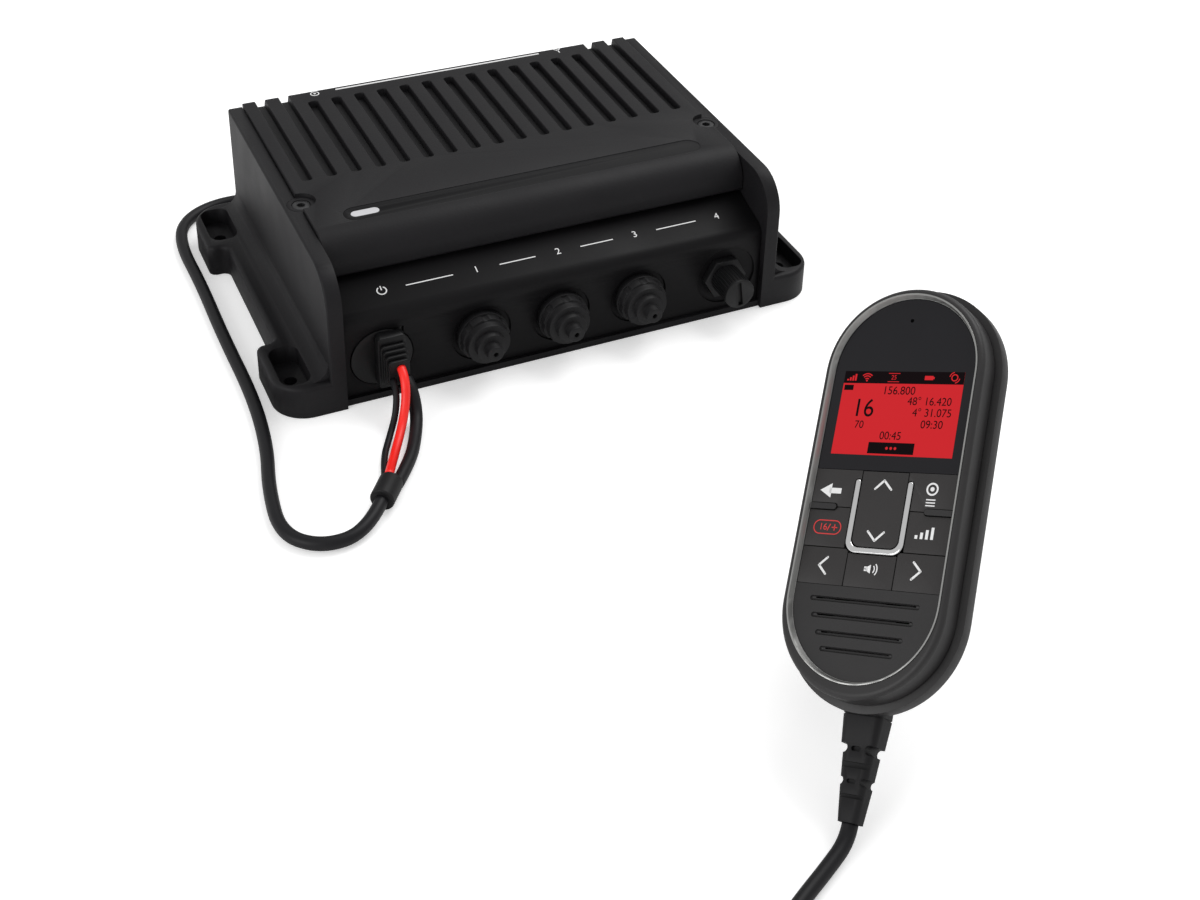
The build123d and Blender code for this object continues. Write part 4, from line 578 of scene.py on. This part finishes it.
# Control points of the cords, in millimetres
RED_ROUTE = (
    (-77.8, -89.8, 22.6), (-78.0, -95.5, 21.3), (-79.4, -99.6, 12.5), (-84.0, -106.5, 4.7),
    (-92.8, -121.8, 3.0), (-98.9, -135.2, 7.0),
)
BLACK_ROUTE = (
    (-75.7, -89.8, 16.2), (-75.2, -94.8, 14.8), (-74.9, -99.2, 5.6), (-78.8, -109.5, 3.0),
    (-86.4, -125.0, 3.0), (-96.4, -137.0, 3.1),
)
THIN_ROUTE = (
    (-81.5, -89.8, 17.2), (-81.9, -95.5, 16.2), (-84.0, -99.8, 8.0), (-88.4, -105.0, 2.2),
    (-96.6, -119.8, 1.9), (-100.1, -134.4, 2.9),
)
CABLE_ROUTE = (
    (-105.16, -145.68, 5.1), (-115.6, -159.6, 3.8), (-133.6, -160.4, 3.0), (-146.0, -147.2, 2.9),
    (-143.2, -120.0, 2.9), (-136.8, -94.0, 2.9), (-133.6, -60.0, 2.9), (-134.4, -12.0, 2.9),
    (-133.6, 32.0, 2.9), (-134.8, 66.0, 2.9), (-130.0, 87.0, 2.9), (-113.0, 99.0, 2.9),
    (-90.0, 98.0, 2.9), (-70.0, 87.6, 2.9), (-50.0, 87.6, 2.9),
)
HANDSET_ROUTE = (
    (-17.81, -352.91, 6.55), (-20.66, -356.38, 3.2), (-31.8, -362.8, 2.9), (-45.4, -370.0, 2.9),
    (-66.0, -382.5, 2.9), (-84.0, -389.0, 2.9), (-98.0, -389.0, 2.9),
)
POWER_TAIL = ((-8.0, 87.6, 8.4), (8.0, 87.6, 5.0), (22.8, 87.6, 5.2))
HANDSET_TAIL = ((-108.0, -463.6, 8.6), (-85.5, -463.6, 9.3))
POWER_COIL = {
    "centre": (-20.0, 123.8), "start": -90, "radii": (36.2, 30.2, 24.3),
    "low": 2.9, "high": 8.5, "turned": 1800,
}
HANDSET_COIL = {
    "centre": (-122.0, -426.3), "start": 90, "radii": (37.3, 31.6, 25.9, 20.2),
    "low": 2.9, "high": 8.4, "turned": 2700,
}
COIL_STEP = 30
# Angles in a turn at which the cord climbs and moves to the next ring
CLIMB_START, CLIMB_END = 240, 300
CROSS_INWARDS, CROSS_OUTWARDS, CROSS_RUN = 275, 248, 60


def coil_points(centre, start, radii, low, high, turned):
    """Control points of a neat coil: turn by turn inwards on the floor, then outwards on top."""
    last = len(radii) - 1
    climb_start, climb_end = 360 * last + CLIMB_START, 360 * last + CLIMB_END
    reach = 1 / math.cos(math.radians(COIL_STEP / 2))
    points = []
    for step in range(turned // COIL_STEP):
        angle = COIL_STEP * (step + 0.5)
        if angle < climb_end:
            turn, along = divmod(angle, 360)
            column, beyond, crossing = int(turn), min(int(turn) + 1, last), CROSS_INWARDS
        else:
            turn, along = divmod(angle - climb_end, 360)
            column, crossing = last - int(turn), CROSS_OUTWARDS
            beyond = max(column - 1, 0)
        climbing = climb_start <= angle <= climb_end
        share = 0 if climbing else min(1, max(0, (along - crossing) / CROSS_RUN))
        rise = min(1, max(0, (angle - climb_start) / (climb_end - climb_start)))
        radius = (radii[column] * (1 - share) + radii[beyond] * share) * reach
        at = math.radians(start + angle)
        x, y = centre[0] + radius * math.cos(at), centre[1] + radius * math.sin(at)
        points.append((x, y, low + (high - low) * rise))
    return points


def metres(points):
    """Points in millimetres as points in metres."""
    return [tuple(c * MM for c in point) for point in points]


TIE_WIDE = 9.0
TIE_THICK = 0.5
TIE_SQUARENESS = 0.45
TIE_GAP_SIDE, TIE_GAP_TOP = 0.7, 0.25


def coil_tie(name, centre, radius, band, height, angle, body):
    """A strap round one side of a coil."""
    bm = bmesh.new()
    bmesh.ops.create_circle(bm, cap_ends=False, segments=28, radius=1.0)
    for vert in bm.verts:
        x = math.copysign(abs(vert.co.x) ** TIE_SQUARENESS, vert.co.x) * (band / 2 + TIE_GAP_SIDE)
        z = math.copysign(abs(vert.co.y) ** TIE_SQUARENESS, vert.co.y) * (height / 2 + TIE_GAP_TOP)
        vert.co = (x, 0, z + height / 2 + TIE_GAP_TOP)
    made = bmesh.ops.extrude_edge_only(bm, edges=bm.edges[:])["geom"]
    moved = [part for part in made if isinstance(part, bmesh.types.BMVert)]
    bmesh.ops.translate(bm, verts=moved, vec=(0, TIE_WIDE, 0))
    bmesh.ops.translate(bm, verts=bm.verts, vec=(0, -TIE_WIDE / 2, 0))
    bmesh.ops.recalc_face_normals(bm, faces=bm.faces)
    bmesh.ops.solidify(bm, geom=bm.faces[:], thickness=TIE_THICK)
    bmesh.ops.recalc_face_normals(bm, faces=bm.faces)
    mesh = bpy.data.meshes.new(name)
    bm.to_mesh(mesh)
    bm.free()
    turn = math.radians(angle)
    spot = (centre[0] + radius * math.cos(turn), centre[1] + radius * math.sin(turn), 0)
    place = Matrix.Translation(spot)
    mesh.transform(Matrix.Scale(MM, 4) @ place @ Matrix.Rotation(turn, 4, "Z"))
    mesh.polygons.foreach_set("use_smooth", [True] * len(mesh.polygons))
    return new_piece(name, mesh, FINISH["rubber"], body)


class RADIO_OT_cords(bpy.types.Operator):
    """The power lead and the handset's cord"""

    bl_idname = "radio.cords"
    bl_label = "Cords"

    def execute(self, context):
        sizes = context.scene.radio_sizes
        for name, route, diameter, finish_name, slot_name, node, with_pieces in WIRES:
            wire, path = bending_cord(name, metres(route), diameter * MM, FINISH[finish_name])
            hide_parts(node)
            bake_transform(wire)
        lead = CABLE_ROUTE + tuple(coil_points(**POWER_COIL)) + POWER_TAIL
        cable = cord_curve("power_lead", metres(lead), sizes.power_cable, FINISH["cord"], "case")
        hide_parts("power_cable", "power_cable_coil")
        power_tie = coil_tie("power_coil_tie", POWER_COIL["centre"], 30.5, 17.4, 11.4, 60, "case")
        run = HANDSET_ROUTE + tuple(coil_points(**HANDSET_COIL)) + HANDSET_TAIL
        line, path = bending_cord("handset_line", metres(run), sizes.handset_cord, FINISH["cord"])
        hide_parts("handset_cord", "handset_cord_coil")
        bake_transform(line)
        line_tie = coil_tie("handset_coil_tie", HANDSET_COIL["centre"], 29.0, 22.4, 11.2, 200, "case")
        return {"FINISHED"}


# Name, route, diameter in millimetres, finish, slot, node and pieces at the far end
WIRES = (
    ("supply_wire", RED_ROUTE, 3.8, "wire_red", "wire_red", "power_wire_red", []),
    ("return_wire", BLACK_ROUTE, 5.4, "cord", "cord_black", "power_wire_black", ["wire_sleeve"]),
    ("signal_wire", THIN_ROUTE, 2.8, "cord", "cord_black", "power_wire_thin", []),
)


# ------------------------------------------------------------------ printed marks

INK_THICK = 0.06
SCREEN_INK = 0.02
ARC_STEP = 8  # degrees
CAPITAL_SHARE = 0.72  # of the font size


def bar(bm, x0, y0, x1, y1, width, z=0.0, thick=INK_THICK):
    """A flat bar between two points."""
    run = Vector((x1 - x0, y1 - y0, 0))
    turn = math.atan2(run.y, run.x)
    middle = ((x0 + x1) / 2, (y0 + y1) / 2, z + thick / 2)
    place = Matrix.Translation(middle) @ Matrix.Rotation(turn, 4, "Z")
    bmesh.ops.create_cube(bm, size=1, matrix=place @ Matrix.Diagonal((run.length, width, thick, 1)))


def dot(bm, x, y, radius, z=0.0, thick=INK_THICK, segments=28, turn=0.0):
    """A flat round spot, or a triangle with three segments."""
    place = Matrix.Translation((x, y, z + thick / 2)) @ Matrix.Rotation(turn, 4, "Z")
    bmesh.ops.create_cone(bm, cap_ends=True, segments=segments, radius1=radius, radius2=radius,
                          depth=thick, matrix=place)


def arc(bm, x, y, radius, start, end, width, z=0.0, thick=INK_THICK):
    """A flat curved line from one angle to another, in degrees."""
    seed = bmesh.new()
    bmesh.ops.create_cube(seed, size=1, matrix=Matrix.Diagonal((width, 0.001, thick, 1)))
    bmesh.ops.translate(seed, verts=seed.verts, vec=(radius, 0, thick / 2))
    bmesh.ops.delete(seed, geom=[f for f in seed.faces if abs(f.normal.y) < 0.5], context="FACES")
    face = max(seed.faces, key=lambda f: f.calc_center_median().y)
    bmesh.ops.delete(seed, geom=[f for f in seed.faces if f != face], context="FACES")
    steps = max(4, int(abs(end - start) / ARC_STEP))
    turn = Matrix.Rotation(math.radians(start), 3, "Z")
    bmesh.ops.rotate(seed, verts=seed.verts, cent=(0, 0, 0), matrix=turn)
    first = seed.faces[:]
    if abs(end - start) < 360:
        bmesh.ops.duplicate(seed, geom=first)
        bmesh.ops.reverse_faces(seed, faces=first)
    bmesh.ops.spin(seed, geom=first, cent=(0, 0, 0), axis=(0, 0, 1), angle=math.radians(end - start),
                   steps=steps, use_merge=abs(end - start) >= 360)
    bmesh.ops.remove_doubles(seed, verts=seed.verts, dist=1e-4)
    bmesh.ops.recalc_face_normals(seed, faces=seed.faces)
    bmesh.ops.translate(seed, verts=seed.verts, vec=(x, y, z))
    merge(bm, seed)


def merge(bm, other):
    """Adds another bmesh to this one."""
    mesh = bpy.data.meshes.new("part")
    other.to_mesh(mesh)
    other.free()
    bm.from_mesh(mesh)
    bpy.data.meshes.remove(mesh)


def numerals(bm, text, x, y, height, z=0.0, thick=INK_THICK, squeeze=1.0):
    """Plain numerals, centred on a point."""
    curve = bpy.data.curves.new("numerals", "FONT")
    curve.body = text
    curve.size = height / CAPITAL_SHARE
    curve.align_x = "CENTER"
    curve.align_y = "CENTER"
    curve.extrude = thick / 2
    holder = bpy.data.objects.new("numerals", curve)
    bpy.context.scene.collection.objects.link(holder)
    mesh = mesh_of(holder)
    mesh.transform(Matrix.Translation((x, y, z + thick / 2)) @ Matrix.Diagonal((squeeze, 1, 1, 1)))
    bm.from_mesh(mesh)
    bpy.data.objects.remove(holder)
    bpy.data.curves.remove(curve)
    bpy.data.meshes.remove(mesh)


def chevron(bm, x, y, wide, tall, width, heading, z=0.0):
    """An open arrowhead; heading 0 points to +x and 90 to +y."""
    turn = math.radians(heading)
    across = Vector((-math.sin(turn), math.cos(turn))) * wide / 2
    ahead = Vector((math.cos(turn), math.sin(turn))) * tall / 2
    tip = Vector((x, y)) + ahead
    for side in (-1, 1):
        foot = Vector((x, y)) - ahead + across * side
        bar(bm, foot.x, foot.y, tip.x, tip.y, width, z)
        dot(bm, foot.x, foot.y, width / 2, z)
    dot(bm, tip.x, tip.y, width / 2, z)


def mark_piece(name, draw, plane, finish_name, body):
    """Draws marks in millimetres on a plane and makes them one piece."""
    bm = bmesh.new()
    draw(bm)
    mesh = bpy.data.meshes.new(name)
    bm.to_mesh(mesh)
    bm.free()
    mesh.transform(plane @ Matrix.Scale(MM, 4))
    return new_piece(name, mesh, FINISH[finish_name], body)


# Height of the keys' faces over the handset plane, in millimetres
KEY_FACE = -1.98


def draw_back(bm):
    bar(bm, -20.0, -3.9, -15.4, -3.9, 1.9, KEY_FACE)
    dot(bm, -20.7, -3.9, 2.9, KEY_FACE, segments=3, turn=math.pi / 2)


def draw_rocker(bm):
    chevron(bm, 0.4, -1.0, 6.0, 3.0, 0.75, 90, KEY_FACE)
    chevron(bm, 0.4, -18.6, 6.0, 3.0, 0.75, -90, KEY_FACE)


def draw_ok(bm):
    arc(bm, 18.6, -1.6, 1.9, 0, 360, 0.6, KEY_FACE)
    dot(bm, 18.6, -1.6, 0.75, KEY_FACE)
    for row in (-5.2, -6.2, -7.2):
        bar(bm, 16.9, row, 20.3, row, 0.4, KEY_FACE)


def draw_channel(bm):
    for side, start in ((-1, 90), (1, -90)):
        arc(bm, -18.3 + side * 2.9, -16.6, 2.3, start, start + 180, 0.35, KEY_FACE)
        bar(bm, -21.2, -16.6 + side * 2.3, -15.4, -16.6 + side * 2.3, 0.35, KEY_FACE)
    numerals(bm, "16", -19.9, -16.6, 2.3, KEY_FACE)
    bar(bm, -18.2, -17.8, -17.2, -15.4, 0.35, KEY_FACE)
    bar(bm, -16.6, -16.6, -14.4, -16.6, 0.35, KEY_FACE)
    bar(bm, -15.5, -17.7, -15.5, -15.5, 0.35, KEY_FACE)


def draw_level(bm):
    for index in range(4):
        bar(bm, 15.4 + index * 1.9, -18.4, 15.4 + index * 1.9, -17.2 + index * 0.95, 1.0, KEY_FACE)


def draw_left(bm):
    chevron(bm, -17.4, -29.6, 5.6, 2.9, 0.75, 180, KEY_FACE)


def draw_right(bm):
    chevron(bm, 17.6, -29.0, 5.6, 2.9, 0.75, 0, KEY_FACE)


def draw_volume(bm):
    bar(bm, -1.6, -29.6, -0.3, -29.6, 1.5, KEY_FACE)
    dot(bm, -0.1, -29.6, 1.7, KEY_FACE, segments=3, turn=math.pi / 2)
    for radius in (1.7, 2.7):
        arc(bm, 0.5, -29.6, radius, -42, 42, 0.4, KEY_FACE)


KEY_MARKS = (
    ("back_mark", draw_back, "ink", "back_key"),
    ("rocker_marks", draw_rocker, "ink", "rocker_key"),
    ("ok_mark", draw_ok, "ink", "ok_key"),
    ("channel_mark", draw_channel, "red_ink", "channel_key"),
    ("level_mark", draw_level, "ink", "power_level_key"),
    ("left_mark", draw_left, "ink", "left_key"),
    ("right_mark", draw_right, "ink", "right_key"),
    ("volume_mark", draw_volume, "ink", "volume_key"),
)

SCREEN = {"x": 0.33, "y": 24.33, "wide": 46.0, "tall": 30.0, "bar": 4.4}
SCREEN_LEVEL = -2.0
SCREEN_THICK = 0.05
SEGMENT_LEVEL = SCREEN_LEVEL + SCREEN_THICK


def draw_screen(bm):
    place = Matrix.Translation((SCREEN["x"], SCREEN["y"], SCREEN_LEVEL + SCREEN_THICK / 2))
    size = Matrix.Diagonal((SCREEN["wide"], SCREEN["tall"], SCREEN_THICK, 1))
    bmesh.ops.create_cube(bm, size=1, matrix=place @ size)


def draw_segments(bm):
    left, top = SCREEN["x"] - SCREEN["wide"] / 2, SCREEN["y"] + SCREEN["tall"] / 2
    z = SEGMENT_LEVEL
    middle = top - SCREEN["bar"] / 2
    bar(bm, left, middle, left + SCREEN["wide"], middle, SCREEN["bar"], z, SCREEN_INK)
    bar(bm, left + 0.6, top - 6.0, left + 4.2, top - 6.0, 1.9, z, SCREEN_INK)
    for text, x, y, height in SCREEN_TEXT:
        numerals(bm, text, left + x, top - y, height, z, SCREEN_INK, 0.94)
    bar(bm, left + 14.0, top - 27.4, left + 31.5, top - 27.4, 4.0, z, SCREEN_INK)


# Text, place from the screen's top left corner and height, in millimetres
SCREEN_TEXT = (
    ("156.800", 22.2, 7.0, 3.0), ("16", 9.6, 13.6, 6.6), ("48\u00b0 16.420", 34.4, 10.7, 2.9),
    ("4\u00b0 31.075", 36.0, 14.7, 2.9), ("09:30", 36.6, 18.8, 2.9), ("70", 9.0, 19.4, 2.8),
    ("00:45", 21.8, 23.1, 2.9),
)


def draw_icons(bm):
    left, top = SCREEN["x"] - SCREEN["wide"] / 2, SCREEN["y"] + SCREEN["tall"] / 2
    z = SEGMENT_LEVEL + SCREEN_INK
    for index in range(4):
        x = left + 1.5 + index * 1.0
        bar(bm, x, top - 3.5, x, top - 2.9 + index * 0.62, 0.7, z, SCREEN_INK)
    for radius in (0.9, 1.8, 2.6):
        arc(bm, left + 9.0, top - 3.5, radius, 45, 135, 0.4, z, SCREEN_INK)
    dot(bm, left + 9.0, top - 3.4, 0.35, z, SCREEN_INK)
    numerals(bm, "25", left + 19.4, top - 2.2, 1.7, z, SCREEN_INK, 0.9)
    for y in (top - 0.7, top - 3.7):
        bar(bm, left + 17.2, y, left + 21.6, y, 0.25, z, SCREEN_INK)
    bar(bm, left + 31.2, top - 2.2, left + 34.4, top - 2.2, 1.5, z, SCREEN_INK)
    bar(bm, left + 34.4, top - 2.2, left + 34.9, top - 2.2, 0.7, z, SCREEN_INK)
    arc(bm, left + 42.4, top - 2.0, 1.1, 0, 360, 0.4, z, SCREEN_INK)
    for turn in (0, 90):
        arc(bm, left + 42.4, top - 2.0, 1.9, 100 + turn * 2, 170 + turn * 2, 0.35, z, SCREEN_INK)
    for index in range(3):
        dot(bm, left + 21.2 + index * 1.6, top - 27.4, 0.5, z, SCREEN_INK)


SHELF_MARK_Y = 12.1


def draw_shelf(bm):
    spots = (-77.0, -34.8, 3.0, 39.8, 80.6)
    for before, after in zip(spots, spots[1:]):
        bar(bm, before + 10.6, SHELF_MARK_Y, after - 10.6, SHELF_MARK_Y, 0.5)
    arc(bm, spots[0], SHELF_MARK_Y, 2.0, 120, 420, 0.55)
    bar(bm, spots[0], SHELF_MARK_Y + 0.2, spots[0], SHELF_MARK_Y + 2.5, 0.55)
    for spot, text in zip(spots[1:], "1234"):
        numerals(bm, text, spot, SHELF_MARK_Y, 3.5, 0.02)


def draw_cover(bm):
    bar(bm, -53.7, 73.6, 50.7, 73.6, 1.1, 0.0)
    arc(bm, -64.0, 73.0, 1.9, 0, 360, 0.5, 0.0)
    dot(bm, -64.0, 73.0, 0.6, 0.0)
    bar(bm, 61.0, 71.0, 61.0, 74.6, 0.55, 0.0)
    chevron(bm, 61.0, 74.4, 3.8, 2.2, 0.55, -90, 0.0)


class RADIO_OT_marks(bpy.types.Operator):
    """Printed lines, numerals and key symbols"""

    bl_idname = "radio.marks"
    bl_label = "Printed marks"

    def execute(self, context):
        mark_piece("shelf_marks", draw_shelf, SHELF, "ink", "case")
        mark_piece("cover_marks", draw_cover, COVER, "ink", "case")
        for name, draw, finish_name, body in KEY_MARKS:
            mark_piece(name, draw, KEYPAD, finish_name, body)
        return {"FINISHED"}


class RADIO_OT_screen(bpy.types.Operator):
    """The lit screen and what it shows"""

    bl_idname = "radio.screen"
    bl_label = "Screen"

    def execute(self, context):
        mark_piece("screen_panel", draw_screen, HANDSET, "lit", "handset")
        mark_piece("screen_segments", draw_segments, HANDSET, "lcd_ink", "handset")
        mark_piece("screen_icons", draw_icons, HANDSET, "lit", "handset")
        return {"FINISHED"}


class RADIO_PT_panel(bpy.types.Panel):
    """Lists the radio's operators"""

    bl_label = "Marine radio"
    bl_idname = "RADIO_PT_panel"
    bl_space_type = "VIEW_3D"
    bl_region_type = "UI"
    bl_category = "Radio"

    def draw(self, context):
        for group in (context.scene.radio_look, context.scene.radio_sizes):
            for name in group.__annotations__:
                self.layout.prop(group, name)
        for operator in OPERATORS:
            self.layout.operator(operator.bl_idname)


OPERATORS = (RADIO_OT_stage, RADIO_OT_finishes, RADIO_OT_edges, RADIO_OT_cords, RADIO_OT_marks,
             RADIO_OT_screen)
CLASSES = (RadioLook, RadioSizes, *OPERATORS, RADIO_PT_panel)


def register():
    for item in CLASSES:
        bpy.utils.register_class(item)
    bpy.types.Scene.radio_look = bpy.props.PointerProperty(type=RadioLook)
    bpy.types.Scene.radio_sizes = bpy.props.PointerProperty(type=RadioSizes)


def unregister():
    del bpy.types.Scene.radio_sizes
    del bpy.types.Scene.radio_look
    for item in reversed(CLASSES):
        bpy.utils.unregister_class(item)


def main():
    register()
    bpy.ops.radio.stage()
    bpy.ops.radio.finishes()
    bpy.ops.radio.edges()
    bpy.ops.radio.cords()
    bpy.ops.radio.marks()
    bpy.ops.radio.screen()


if __name__ == "__main__":
    main()
